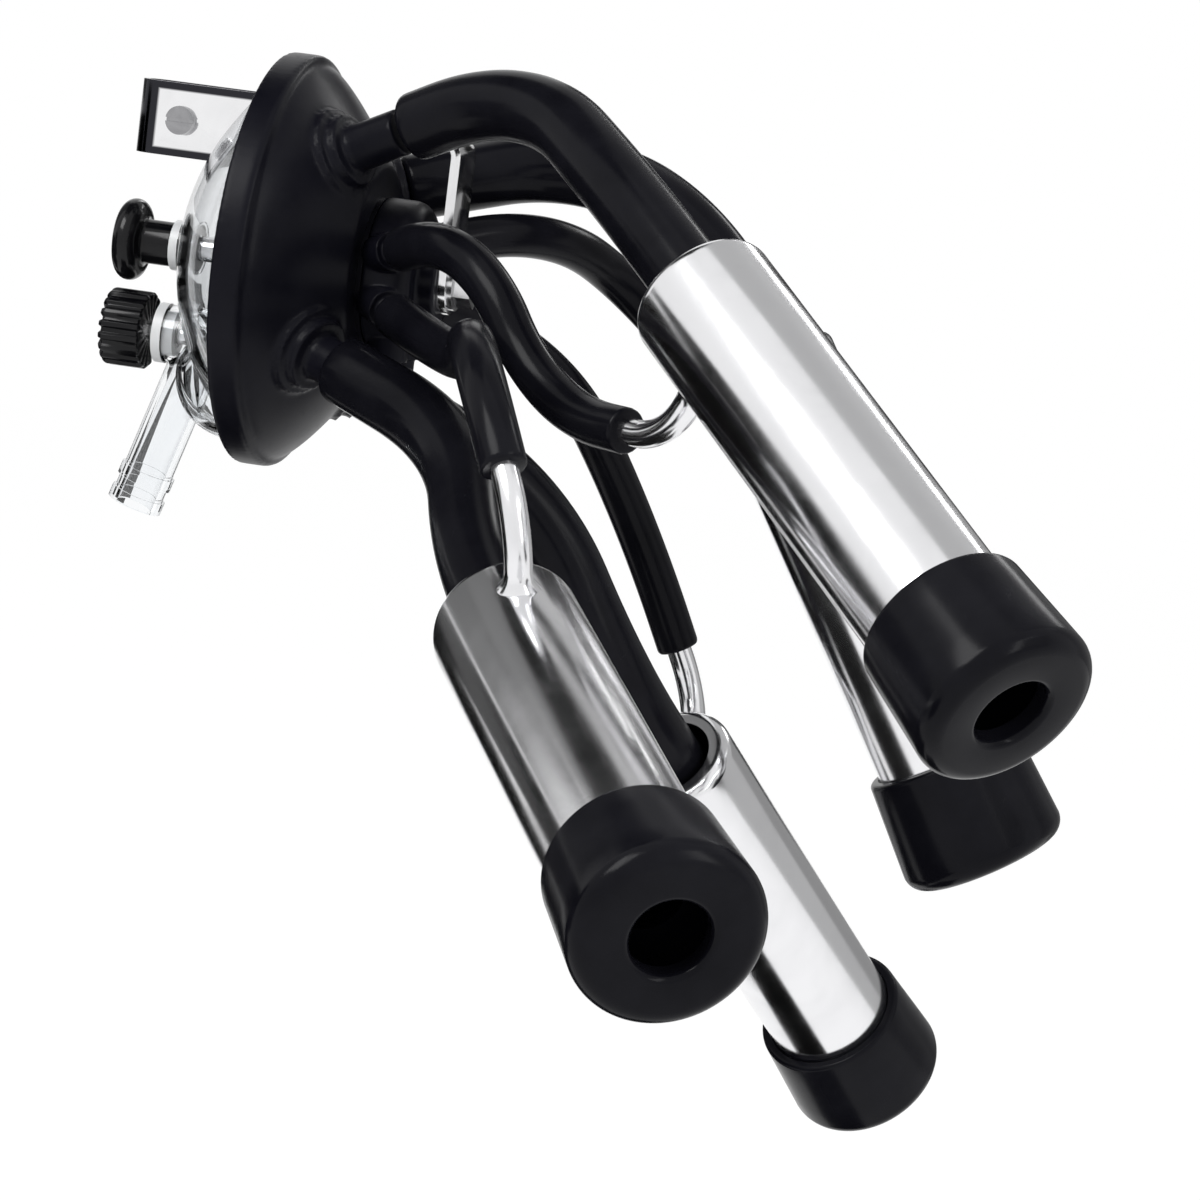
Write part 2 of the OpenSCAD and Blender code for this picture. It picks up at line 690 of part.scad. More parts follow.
module valve_knob() {
  edge = 2;
  color([0.08, 0.08, 0.09]) hung() translate([valve_knob_x, 0, -valve_drop]) difference() {
    rotate([0, -90, 0]) rotate_extrude() {
      square([valve_knob_r - edge, valve_knob_l]);
      square([valve_knob_r, valve_knob_l - edge]);
      translate([valve_knob_r - edge, valve_knob_l - edge]) circle(edge);
    }
    for (k = [0:flutes - 1])
      rotate([360 * k / flutes, 0, 0]) translate([-valve_knob_l - eps, 0, valve_knob_r + flute_r / 3])
        rotate([0, 90, 0]) cylinder(h = valve_knob_l + 2 * eps, r = flute_r);
    translate([-valve_knob_l / 2, 0, 0]) rotate([0, 90, 0]) cylinder(h = valve_knob_l, r = stem_r);
  }
}

module loop_bracket() {
  bend_out = lug_t / 2 + strap_t;
  color([0.8, 0.81, 0.82]) hung() difference() {
    translate([0, 0, bracket_z - strap_h / 2]) linear_extrude(height = strap_h) {
      for (y = [-bend_out, lug_t / 2])
        translate([strap_bend_x, y]) square([-strap_bend_x, strap_t]);
      translate([strap_bend_x, 0]) difference() {
        circle(bend_out);
        circle(lug_t / 2);
        translate([0, -2 * bend_out]) square(4 * bend_out);
      }
    }
    dome(-4 * fit);
    translate([screw_x, lug_t, bracket_z]) rotate([90, 0, 0]) cylinder(h = 2 * lug_t, r = screw_r + fit);
  }
}

module bracket_screw() {
  outside = lug_t / 2 + strap_t;
  slot_w = 1.2;
  color([0.7, 0.71, 0.73]) hung() translate([screw_x, 0, bracket_z]) rotate([90, 0, 0]) difference() {
    union() {
      translate([0, 0, -outside - nut_l]) cylinder(h = 2 * outside + nut_l + lap, r = screw_r);
      translate([0, 0, outside]) cylinder(h = screw_head_l, r = screw_head_r);
    }
    translate([-screw_head_r, -slot_w / 2, outside + screw_head_l / 2])
      cube([2 * screw_head_r, slot_w, screw_head_l]);
  }
}

module bracket_nut() {
  outside = lug_t / 2 + strap_t;
  color([0.7, 0.71, 0.73]) hung() translate([screw_x, outside, bracket_z]) rotate([-90, 0, 0]) difference() {
    cylinder(h = nut_l, r = nut_af / sqrt(3), $fn = 6);
    translate([0, 0, -eps]) cylinder(h = nut_l + 2 * eps, r = screw_r);
  }
}

// Half section of a round tub that stands on its rounded end
module tub(r, l, corner) {
  square([r - corner, l]);
  translate([0, corner]) square([r, l - corner]);
  translate([r - corner, corner]) circle(corner);
}

// Pulse nipple of a shell in the cup's frame, with its radius stepping down towards the tip
module pulse_nipple(r0, r1, r2, longer) {
  rod([shell_r - shell_wall - longer, 0, pulse_station], [1, 0, 0], stub_x - shell_r + shell_wall + longer, r0);
  arc_rod([stub_x, 0, pulse_station], [1, 0, 0], bend_end, r1);
  rod(bend_end, tip_dir, pulse_tip_l + longer, r2);
}

module shell(i) {
  color([0.76, 0.77, 0.79]) hung() multmatrix(cup_frame(i)) difference() {
    union() {
      rotate_extrude() tub(shell_r, shell_l, shell_round);
      pulse_nipple(pulse_r + 2 * fit, pulse_r + fit, pulse_r, 0);
    }
    translate([0, 0, shell_wall])
      rotate_extrude() tub(shell_r - shell_wall, shell_l, shell_round - shell_wall);
    translate([0, 0, -eps]) cylinder(h = 2 * shell_wall, r = shell_hole_r);
    pulse_nipple(pulse_bore_r - fit, pulse_bore_r, pulse_bore_r + fit, lap);
  }
}

// Half section of the liner's head and barrel in [radius, distance from the shell's small end]
lock_r = shell_r - shell_round - fit;
lock_l = 5;
head_steps = 6;
head_edge = [for (k = [0:head_steps]) [
  head_r - head_round + head_round * cos(90 * k / head_steps),
  mouth_at - head_round + head_round * sin(90 * k / head_steps)
]];
liner_outside = concat(
  [[0, -tail_l], [tube_tail_r, -tail_l], [tube_tail_r, 0], [shell_hole_r - fit, 0]],
  [[shell_hole_r - fit, shell_wall], [lock_r, shell_wall], [lock_r, shell_wall + lock_l]],
  [[barrel_r, shell_wall + 2 * lock_l], [barrel_r, shell_l], [shell_r, shell_l], [shell_r, cuff_at]],
  [[cuff_r - 1, cuff_at], [cuff_r, cuff_at + 1]],
  head_edge,
  [[0, mouth_at]]
);
chamber_back = shell_l + 4;
chamber_front = mouth_at - lip_t;
liner_inside = [
  [0, shell_wall + lock_l],
  [tube_bore_r + step_r, shell_wall + lock_l],
  [teat_r, shell_wall + 4 * lock_l],
  [teat_r, chamber_back],
  [mouth_chamber_r, chamber_back],
  [mouth_chamber_r, chamber_front],
  [teat_r, chamber_front],
  [teat_r, mouth_at + eps],
  [0, mouth_at + eps]
];

module liner(i) {
  tip = nipple_tip(i);
  dir = nipple_dir(i);
  end = tail_at(i);
  mid_r = tube_end_r + step_r;
  color([0.09, 0.09, 0.1]) hung() difference() {
    union() {
      rod(tip - push_on(i) * dir, dir, push_on(i), tube_end_r);
      bent_rod(tip, dir, end, cup_dir(i), mid_r, mid_r + step_r);
      multmatrix(cup_frame(i)) rotate_extrude() polygon(liner_outside);
    }
    rod(tip - (push_on(i) + lap) * dir, dir, push_on(i) + lap + fit, nipple_r);
    bent_rod(tip, dir, end, cup_dir(i), tube_bore_r - step_r, tube_bore_r);
    multmatrix(cup_frame(i)) {
      translate([0, 0, -tail_l - lap]) cylinder(h = tail_l + 2 * lock_l, r = tube_bore_r + step_r);
      rotate_extrude() polygon(liner_inside);
    }
  }
}

module pulse_tube(i) {
  from = outlet_tip(i);
  from_dir = outlet_dir(i);
  to = pulse_tip(i);
  to_dir = -pulse_tip_dir(i);
  color([0.1, 0.1, 0.11]) hung() difference() {
    union() {
      rod(from - hose_grip * from_dir, from_dir, hose_grip, hose_r);
      bent_rod(from, from_dir, to, to_dir, hose_r - fit, hose_r + fit);
      rod(to, to_dir, hose_grip, hose_r);
    }
    rod(from - (hose_grip + lap) * from_dir, from_dir, hose_grip + lap + fit, pulse_r);
    bent_rod(from, from_dir, to, to_dir, pulse_bore_r + fit, pulse_bore_r);
    rod(to - fit * to_dir, to_dir, hose_grip + lap + fit, pulse_r);
  }
}

claw_bowl();
bowl_gasket();
claw_cover();
distributor_gasket();
pulse_distributor();
hanging_hook();
hook_washer();
clamp_bolt();
clamp_knob();
clamp_seal();
valve_bonnet();
stem_seal();
valve_stem();
valve_plug();
valve_knob();
loop_bracket();
bracket_screw();
bracket_nut();
shell(0);  // shell_1
shell(1);  // shell_2
shell(2);  // shell_3
shell(3);  // shell_4
liner(0);  // liner_1
liner(1);  // liner_2
liner(2);  // liner_3
liner(3);  // liner_4
pulse_tube(0);  // pulse_tube_1
pulse_tube(1);  // pulse_tube_2
pulse_tube(2);  // pulse_tube_3
pulse_tube(3);  // pulse_tube_4
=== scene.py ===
import math

import bmesh
import bpy
from mathutils import Matrix, Vector


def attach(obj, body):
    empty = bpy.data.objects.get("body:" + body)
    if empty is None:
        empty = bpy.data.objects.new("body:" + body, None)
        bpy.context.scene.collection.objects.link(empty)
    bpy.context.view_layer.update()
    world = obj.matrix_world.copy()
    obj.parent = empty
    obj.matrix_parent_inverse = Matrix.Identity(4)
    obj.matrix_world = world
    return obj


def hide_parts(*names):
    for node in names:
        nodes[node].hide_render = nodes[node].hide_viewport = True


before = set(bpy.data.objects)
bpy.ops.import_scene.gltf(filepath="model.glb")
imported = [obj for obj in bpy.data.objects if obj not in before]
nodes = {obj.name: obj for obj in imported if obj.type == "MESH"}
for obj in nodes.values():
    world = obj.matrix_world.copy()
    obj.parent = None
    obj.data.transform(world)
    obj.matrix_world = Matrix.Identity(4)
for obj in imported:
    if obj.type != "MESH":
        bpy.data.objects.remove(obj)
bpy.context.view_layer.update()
mm = 0.001
hookSeat = Vector((40, 0, 43))  # the hook's seat in the claw's own millimetres


def place(x, y, z):  # claw millimetres to the frame's metres
    return (Vector((x, y, z)) - hookSeat) * mm


# ways of working
def deselectAll():
    if bpy.context.mode != "OBJECT":
        bpy.ops.object.mode_set(mode="OBJECT")
    bpy.ops.object.select_all(action="DESELECT")


def activate(obj):
    deselectAll()
    obj.select_set(True)
    bpy.context.view_layer.objects.active = obj


def nameIt(obj, name):
    obj.name = name
    obj.data.name = name
    return obj


def applyModifier(obj, kind, **settings):
    activate(obj)
    bpy.ops.object.modifier_add(type=kind)
    modifier = obj.modifiers[-1]
    for key, value in settings.items():
        setattr(modifier, key, value)
    bpy.ops.object.modifier_apply(modifier=modifier.name)


def settle(obj, angle=35):  # place and turn go into the mesh
    activate(obj)
    bpy.ops.object.transform_apply(location=True, rotation=True, scale=True)
    bpy.ops.object.shade_smooth_by_angle(angle=math.radians(angle))


def cleanMesh(obj):
    activate(obj)
    bpy.ops.object.mode_set(mode="EDIT")
    bpy.ops.mesh.select_all(action="SELECT")
    bpy.ops.mesh.remove_doubles(threshold=0.000005)
    bpy.ops.mesh.normals_make_consistent(inside=False)
    bpy.ops.object.mode_set(mode="OBJECT")


def drawLine(name, points, closed=False):  # one vertex, extruded from point to point
    deselectAll()
    bpy.ops.mesh.primitive_plane_add(size=0.002, location=(0, 0, 0))
    obj = nameIt(bpy.context.object, name)
    bpy.ops.object.mode_set(mode="EDIT")
    bpy.ops.mesh.select_all(action="SELECT")
    bpy.ops.mesh.merge(type="CENTER")
    bpy.ops.transform.translate(value=points[0])
    for here, there in zip(points, points[1:]):
        bpy.ops.mesh.extrude_region_move(TRANSFORM_OT_translate={"value": there - here})
    if closed:
        mesh = bmesh.from_edit_mesh(obj.data)
        for vert in mesh.verts:
            vert.select = (vert.co - points[0]).length < 1e-6 or (vert.co - points[-1]).length < 1e-6
        mesh.select_flush_mode()
        bmesh.update_edit_mesh(obj.data)
        bpy.ops.mesh.edge_face_add()
    return obj


def spinLine(obj, center, axis, steps):
    bpy.ops.mesh.select_all(action="SELECT")
    bpy.ops.mesh.spin(steps=steps, angle=math.tau, center=center, axis=axis)
    bpy.ops.object.mode_set(mode="OBJECT")
    cleanMesh(obj)
    return obj


def turnOnClaw(name, profile, drop=0, steps=96, closed=True):  # [station, radius] about the claw's axis
    points = [place(x, 0, r - drop) for x, r in profile]
    return spinLine(drawLine(name, points, closed), place(0, 0, -drop), (1, 0, 0), steps)


def turnOnCup(name, profile, steps=96):  # [radius, distance] about the cup's axis
    points = [Vector((r, 0, z)) * mm for r, z in profile]
    return spinLine(drawLine(name, points, True), (0, 0, 0), (0, 0, 1), steps)


def corner(cx, cy, r, start, end, steps=6):  # points on a rounded corner
    angles = [math.radians(start + (end - start) * k / steps) for k in range(steps + 1)]
    return [(cx + r * math.cos(a), cy + r * math.sin(a)) for a in angles]


def addRod(name, foot, direction, length, radius, vertices=48):
    direction = direction.normalized()
    deselectAll()
    bpy.ops.mesh.primitive_cylinder_add(
        vertices=vertices, radius=radius * mm, depth=length * mm,
        location=foot + direction * (length / 2 * mm), rotation=direction.to_track_quat("Z", "Y").to_euler(),
    )
    obj = nameIt(bpy.context.object, name)
    bpy.ops.object.transform_apply(location=True, rotation=True, scale=True)
    return obj


def combine(obj, tool, how):
    activate(obj)
    bpy.ops.object.modifier_add(type="BOOLEAN")
    modifier = obj.modifiers[-1]
    modifier.operation = how
    modifier.solver = "EXACT"
    modifier.object = tool
    bpy.ops.object.modifier_apply(modifier=modifier.name)
    activate(tool)
    bpy.ops.object.delete()


def pullSheet(obj, offset):  # a drawn line, still in edit mode, becomes a sheet
    bpy.ops.mesh.select_all(action="SELECT")
    bpy.ops.mesh.extrude_region_move(TRANSFORM_OT_translate={"value": offset})
    bpy.ops.object.mode_set(mode="OBJECT")
    cleanMesh(obj)


def bevelEdges(obj, width, segments=3, angle=40):
    applyModifier(
        obj, "BEVEL", width=width * mm, segments=segments,
        limit_method="ANGLE", angle_limit=math.radians(angle),
    )


def softenCasting(obj, voxel, rounds):  # one moulding out of joined bodies, with soft inner corners
    activate(obj)
    obj.data.remesh_voxel_size = voxel * mm
    obj.data.use_remesh_preserve_volume = True
    bpy.ops.object.voxel_remesh()
    applyModifier(obj, "SMOOTH", factor=0.5, iterations=rounds)


def joinPieces(obj, others):
    deselectAll()
    for other in others:
        other.select_set(True)
    obj.select_set(True)
    bpy.context.view_layer.objects.active = obj
    bpy.ops.object.join()
    return obj


def sweepTube(name, path, radii, sides=10):  # round tube along a path of points
    deselectAll()
    bpy.ops.curve.primitive_nurbs_path_add(location=(0, 0, 0))
    obj = nameIt(bpy.context.object, name)
    curve = obj.data
    curve.splines.clear()
    spline = curve.splines.new("POLY")
    spline.points.add(len(path) - 1)
    for point, where, radius in zip(spline.points, path, radii):
        point.co = (*where, 1)
        point.radius = radius
    curve.dimensions = "3D"
    curve.bevel_depth = mm
    curve.bevel_resolution = sides
    curve.use_fill_caps = True
    bpy.ops.object.convert(target="MESH")
    cleanMesh(obj)
    return obj


# routes of the tubes, in the claw's millimetres
clawSizes = {
    "nippleRing": 44, "nippleAt": 20, "nippleLean": 30, "nippleRoll": 12, "nippleLong": 36, "collarLong": 4,
    "distBack": 29.5, "distLong": 14.5, "distR": 24, "outLean": 45, "outSpread": 20, "outLong": 17,
}
cupSizes = {
    "at": [(152, -110, 15), (146, 45, -12), (115, -146, -84), (126, 71, -149)],
    "turn": [-39, 11, -59.5, 61.5], "dip": [32, 59, 17.5, 41.5], "roll": [-10, 80, 35, 10],
    "shellR": 21.5, "shellLong": 150, "shellWall": 1.2, "shellRound": 4, "shellHole": 14.5,
    "nippleStation": 18, "nippleStub": 5, "nippleBend": 26, "nippleTurn": 58, "nippleTip": 14,
    "holeUp": 0.6, "holeOut": 0.4, "wallRings": (40, 100), "brazeSunk": 0.8, "brazeOut": 2,
    "brazeR": 6.4, "brazeEndR": 4.4, "nippleR": 4.15, "nippleTipR": 4.0,
    "mouthAt": 178, "tailLong": 12, "milkTubeLong": 149.5,
}
nipplePlace = [45, 135, -45, 225]
sideY = [-1, 1, -1, 1]
sideZ = [1, 1, -1, -1]


def nippleLine(i):
    lean = math.radians(clawSizes["nippleLean"])
    around = math.radians(nipplePlace[i] + clawSizes["nippleRoll"])
    out = Vector((0, -math.cos(around), math.sin(around)))
    foot = Vector((clawSizes["nippleAt"], 0, 0)) + clawSizes["nippleRing"] * out
    return foot, Vector((math.cos(lean), 0, 0)) + math.sin(lean) * out


def outletLine(i):
    lean, spread = math.radians(clawSizes["outLean"]), math.radians(clawSizes["outSpread"])
    ray = Vector((0, sideY[i] * math.cos(spread), sideZ[i] * math.sin(spread)))
    foot = Vector((clawSizes["distBack"] + clawSizes["distLong"] / 2, 0, 0)) + clawSizes["distR"] * ray
    return foot, Vector((math.cos(lean), 0, 0)) + math.sin(lean) * ray


def cupDirection(i):
    turn, dip = math.radians(cupSizes["turn"][i]), math.radians(cupSizes["dip"][i])
    return Vector((math.cos(dip) * math.cos(turn), math.cos(dip) * math.sin(turn), -math.sin(dip)))


def cupMatrix(i):  # cup's own frame, in millimetres of the claw
    at, along = Vector(cupSizes["at"][i]), cupDirection(i)
    toClaw = Vector((clawSizes["distBack"] + clawSizes["distLong"], 0, 0)) - at
    inward = (toClaw - toClaw.dot(along) * along).normalized()
    roll = math.radians(cupSizes["roll"][i])
    inward = math.cos(roll) * inward + math.sin(roll) * along.cross(inward)
    side = along.cross(inward)
    rows = [[inward[k], side[k], along[k], at[k]] for k in range(3)]
    return Matrix(rows + [[0, 0, 0, 1]])


def placeCup(obj, i):  # from the cup's frame to the hung place
    matrix = cupMatrix(i)
    where = (matrix.translation - hookSeat) * mm
    obj.matrix_world = Matrix.Translation(where) @ matrix.to_3x3().to_4x4()
    settle(obj)


def arcPoints(start, heading, end, steps):
    chord = end - start
    turn = 2 * chord.angle(heading)
    if turn < 1e-4:
        return [start + chord * k / steps for k in range(steps + 1)]
    radius = chord.length / (2 * math.sin(turn / 2))
    inward = (chord - chord.dot(heading) * heading).normalized()
    angles = [turn * k / steps for k in range(steps + 1)]
    return [start + radius * (math.sin(a) * heading + (1 - math.cos(a)) * inward) for a in angles]


def bendPoints(start, heading, end, arriving, steps=24):  # two arcs that meet in one direction
    gap, both = end - start, heading + arriving
    k = 2 * (1 - heading.dot(arriving))
    b = gap.dot(both)
    reach = (math.sqrt(b * b + k * gap.length_squared) - b) / k
    kneeA, kneeB = start + reach * heading, end - reach * arriving
    joint, across = (kneeA + kneeB) / 2, (kneeB - kneeA).normalized()
    first = arcPoints(start, heading, joint, steps)
    return first + arcPoints(joint, across, end, steps)[1:]


def pathLength(points):
    return sum((b - a).length for a, b in zip(points, points[1:]))


def toFrame(points):
    return [(p - hookSeat) * mm for p in points]


print("claw and cup routes ready")


# shared effects
def newGroup(name, inputs, outputs):
    group = bpy.data.node_groups.new(name, "ShaderNodeTree")
    for label, kind, value in inputs:
        socket = group.interface.new_socket(name=label, in_out="INPUT", socket_type=kind)
        socket.default_value = value
    for label, kind in outputs:
        group.interface.new_socket(name=label, in_out="OUTPUT", socket_type=kind)
    return group, group.nodes.new("NodeGroupInput"), group.nodes.new("NodeGroupOutput")


def addNode(tree, kind, links=(), **settings):
    node = tree.nodes.new(kind)
    for key, value in settings.items():
        if hasattr(node, key):
            setattr(node, key, value)
        else:
            node.inputs[key.replace("_", " ")].default_value = value
    for socket, source in links:
        tree.links.new(source, node.inputs[socket])
    return node


def mapRange(tree, source, low, high, toLow, toHigh):
    node = addNode(tree, "ShaderNodeMapRange", [(0, source)])
    for key, value in zip(("From Min", "From Max", "To Min", "To Max"), (low, high, toLow, toHigh)):
        node.inputs[key].default_value = value
    return node.outputs[0]


def makeSkinGroup():  # moulded skin: cloudy bloom, fine grain and a few handling rubs
    group, start, end = newGroup(
        "mouldedSkin",
        [("Place", "NodeSocketVector", (0, 0, 0)), ("Cloud Scale", "NodeSocketFloat", 40.0),
         ("Grain Scale", "NodeSocketFloat", 1500.0)],
        [("Bloom", "NodeSocketFloat"), ("Rubs", "NodeSocketFloat"), ("Height", "NodeSocketFloat")],
    )
    where = start.outputs["Place"]
    cloud = addNode(
        group, "ShaderNodeTexNoise", [("Vector", where), ("Scale", start.outputs["Cloud Scale"])],
        Detail=5.0, Roughness=0.6,
    )
    grain = addNode(
        group, "ShaderNodeTexNoise", [("Vector", where), ("Scale", start.outputs["Grain Scale"])],
        Detail=3.0, Roughness=0.55,
    )
    rubPlace = addNode(group, "ShaderNodeMapping", [("Vector", where)], Scale=(260.0, 60.0, 110.0))
    rubs = addNode(
        group, "ShaderNodeTexNoise", [("Vector", rubPlace.outputs[0])],
        Scale=1.0, Detail=6.0, Roughness=0.7,
    )
    group.links.new(mapRange(group, cloud.outputs["Fac"], 0.35, 0.7, 0.0, 1.0), end.inputs["Bloom"])
    group.links.new(mapRange(group, rubs.outputs["Fac"], 0.58, 0.72, 0.0, 1.0), end.inputs["Rubs"])
    group.links.new(grain.outputs["Fac"], end.inputs["Height"])
    return group


def makePolishGroup():  # polished metal: smears from handling and fine polishing lines
    group, start, end = newGroup(
        "polishedMetal",
        [("Place", "NodeSocketVector", (0, 0, 0)), ("Line Scale", "NodeSocketVector", (30.0, 30.0, 1800.0)),
         ("Smear Scale", "NodeSocketFloat", 30.0)],
        [("Smears", "NodeSocketFloat"), ("Lines", "NodeSocketFloat")],
    )
    where = start.outputs["Place"]
    linePlace = addNode(
        group, "ShaderNodeVectorMath", [(0, where), (1, start.outputs["Line Scale"])], operation="MULTIPLY",
    )
    lines = addNode(
        group, "ShaderNodeTexNoise", [("Vector", linePlace.outputs[0])],
        Scale=1.0, Detail=4.0, Roughness=0.65,
    )
    smears = addNode(
        group, "ShaderNodeTexNoise", [("Vector", where), ("Scale", start.outputs["Smear Scale"])],
        Detail=6.0, Roughness=0.62, Distortion=0.6,
    )
    group.links.new(mapRange(group, smears.outputs["Fac"], 0.4, 0.75, 0.0, 1.0), end.inputs["Smears"])
    group.links.new(lines.outputs["Fac"], end.inputs["Lines"])
    return group


skinGroup = makeSkinGroup()
polishGroup = makePolishGroup()
grainDepth, lineDepth = 0.0002, 0.00005  # heights of the bumps in metres


def newMaterial(name):
    material = bpy.data.materials.new(name)
    material.use_nodes = True
    tree = material.node_tree
    shader = tree.nodes["Principled BSDF"]
    return material, tree, shader


def skinMaterial(name, look):
    material, tree, shader = newMaterial(name)
    coords = addNode(tree, "ShaderNodeTexCoord")
    skin = addNode(tree, "ShaderNodeGroup", node_tree=skinGroup)
    tree.links.new(coords.outputs["Object"], skin.inputs["Place"])
    skin.inputs["Cloud Scale"].default_value = look["cloudScale"]
    skin.inputs["Grain Scale"].default_value = look["grainScale"]
    tint = addNode(tree, "ShaderNodeMix", [(0, skin.outputs["Bloom"])], data_type="RGBA")
    tint.inputs[6].default_value = (*look["deep"], 1)
    tint.inputs[7].default_value = (*look["bloom"], 1)
    tree.links.new(tint.outputs[2], shader.inputs["Base Color"])
    low, high = look["roughness"]
    rough = mapRange(tree, skin.outputs["Bloom"], 0.0, 1.0, low, high)
    rubbed = addNode(tree, "ShaderNodeMath", [(0, skin.outputs["Rubs"])], operation="MULTIPLY")
    rubbed.inputs[1].default_value = look["rubs"]
    total = addNode(tree, "ShaderNodeMath", [(0, rough), (1, rubbed.outputs[0])], operation="ADD")
    tree.links.new(total.outputs[0], shader.inputs["Roughness"])
    bump = addNode(
        tree, "ShaderNodeBump", [("Height", skin.outputs["Height"])],
        Strength=look["grain"], Distance=grainDepth,
    )
    tree.links.new(bump.outputs[0], shader.inputs["Normal"])
    shader.inputs["Specular IOR Level"].default_value = look["gloss"]
    return material


def metalMaterial(name, look):
    material, tree, shader = newMaterial(name)
    if look["attribute"]:
        coords = addNode(tree, "ShaderNodeAttribute", attribute_name=look["attribute"])
        source = coords.outputs["Vector"]
    else:
        coords = addNode(tree, "ShaderNodeTexCoord")
        source = coords.outputs["Object"]
    polish = addNode(tree, "ShaderNodeGroup", node_tree=polishGroup)
    tree.links.new(source, polish.inputs["Place"])
    polish.inputs["Line Scale"].default_value = look["lineScale"]
    polish.inputs["Smear Scale"].default_value = look["smearScale"]
    tint = addNode(tree, "ShaderNodeMix", [(0, polish.outputs["Smears"])], data_type="RGBA")
    tint.inputs[6].default_value = (*look["bright"], 1)
    tint.inputs[7].default_value = (*look["dull"], 1)
    tree.links.new(tint.outputs[2], shader.inputs["Base Color"])
    low, high = look["roughness"]
    tree.links.new(mapRange(tree, polish.outputs["Smears"], 0.0, 1.0, low, high), shader.inputs["Roughness"])
    bump = addNode(
        tree, "ShaderNodeBump", [("Height", polish.outputs["Lines"])],
        Strength=look["lines"], Distance=lineDepth,
    )
    tree.links.new(bump.outputs[0], shader.inputs["Normal"])
    shader.inputs["Metallic"].default_value = 1.0
    return material


def paintedEdgeReflectionMaterial(name, look):  # strap steel with a painted dark reflection along its edges and round its bend
    material = metalMaterial(name, look)
    tree = material.node_tree
    shader = tree.nodes["Principled BSDF"]
    coords = addNode(tree, "ShaderNodeTexCoord")
    # painted dark reflection: a mask of bands along the strap's upper and lower edges and over its whole
    # bend
    parts = addNode(tree, "ShaderNodeSeparateXYZ", [(0, coords.outputs["Object"])])
    rise = addNode(tree, "ShaderNodeMath", [(0, parts.outputs[2])], operation="SUBTRACT")
    rise.inputs[1].default_value = look["middle"]
    rise = addNode(tree, "ShaderNodeMath", [(0, rise.outputs[0])], operation="ABSOLUTE")
    band = mapRange(tree, rise.outputs[0], look["band"] - look["bandFade"], look["band"], 0.0, 1.0)
    bend = mapRange(tree, parts.outputs[0], look["bend"], look["bend"] + look["bendFade"], 1.0, 0.0)
    share = addNode(tree, "ShaderNodeMath", [(0, band), (1, bend)], operation="MAXIMUM")
    plain = shader.inputs["Base Color"].links[0].from_socket
    mix = addNode(tree, "ShaderNodeMix", [(0, share.outputs[0]), (6, plain)], data_type="RGBA")
    # tone of the painted dark reflection, mixed into the base colour
    mix.inputs[7].default_value = (*look["paintedReflectionTone"], 1)
    tree.links.new(mix.outputs[2], shader.inputs["Base Color"])
    return material


def clearMaterial(name, look):
    material, tree, shader = newMaterial(name)
    coords = addNode(tree, "ShaderNodeTexCoord")
    skin = addNode(tree, "ShaderNodeGroup", node_tree=skinGroup)
    tree.links.new(coords.outputs["Object"], skin.inputs["Place"])
    skin.inputs["Cloud Scale"].default_value = look["cloudScale"]
    skin.inputs["Grain Scale"].default_value = look["grainScale"]
    low, high = look["roughness"]
    tree.links.new(mapRange(tree, skin.outputs["Rubs"], 0.0, 1.0, low, high), shader.inputs["Roughness"])
    tint = addNode(tree, "ShaderNodeMix", [(0, skin.outputs["Bloom"])], data_type="RGBA")
    tint.inputs[6].default_value = (*look["clear"], 1)
    tint.inputs[7].default_value = (*look["hazy"], 1)
    # painted dark reflection: the base colour turns dark towards the bowl's outline, where its faces turn
    # away from the view
    paintedEdgeReflection = addNode(tree, "ShaderNodeLayerWeight", Blend=0.5)
    share = mapRange(tree, paintedEdgeReflection.outputs["Facing"], look["paintedEdgeFrom"], 1.0, 0.0, 1.0)
    rim = addNode(tree, "ShaderNodeMix", [(0, share), (6, tint.outputs[2])], data_type="RGBA")
    rim.inputs[7].default_value = (*look["paintedEdgeReflection"], 1)
    tree.links.new(rim.outputs[2], shader.inputs["Base Color"])
    shader.inputs["Transmission Weight"].default_value = 1.0
    shader.inputs["IOR"].default_value = look["ior"]
    return material


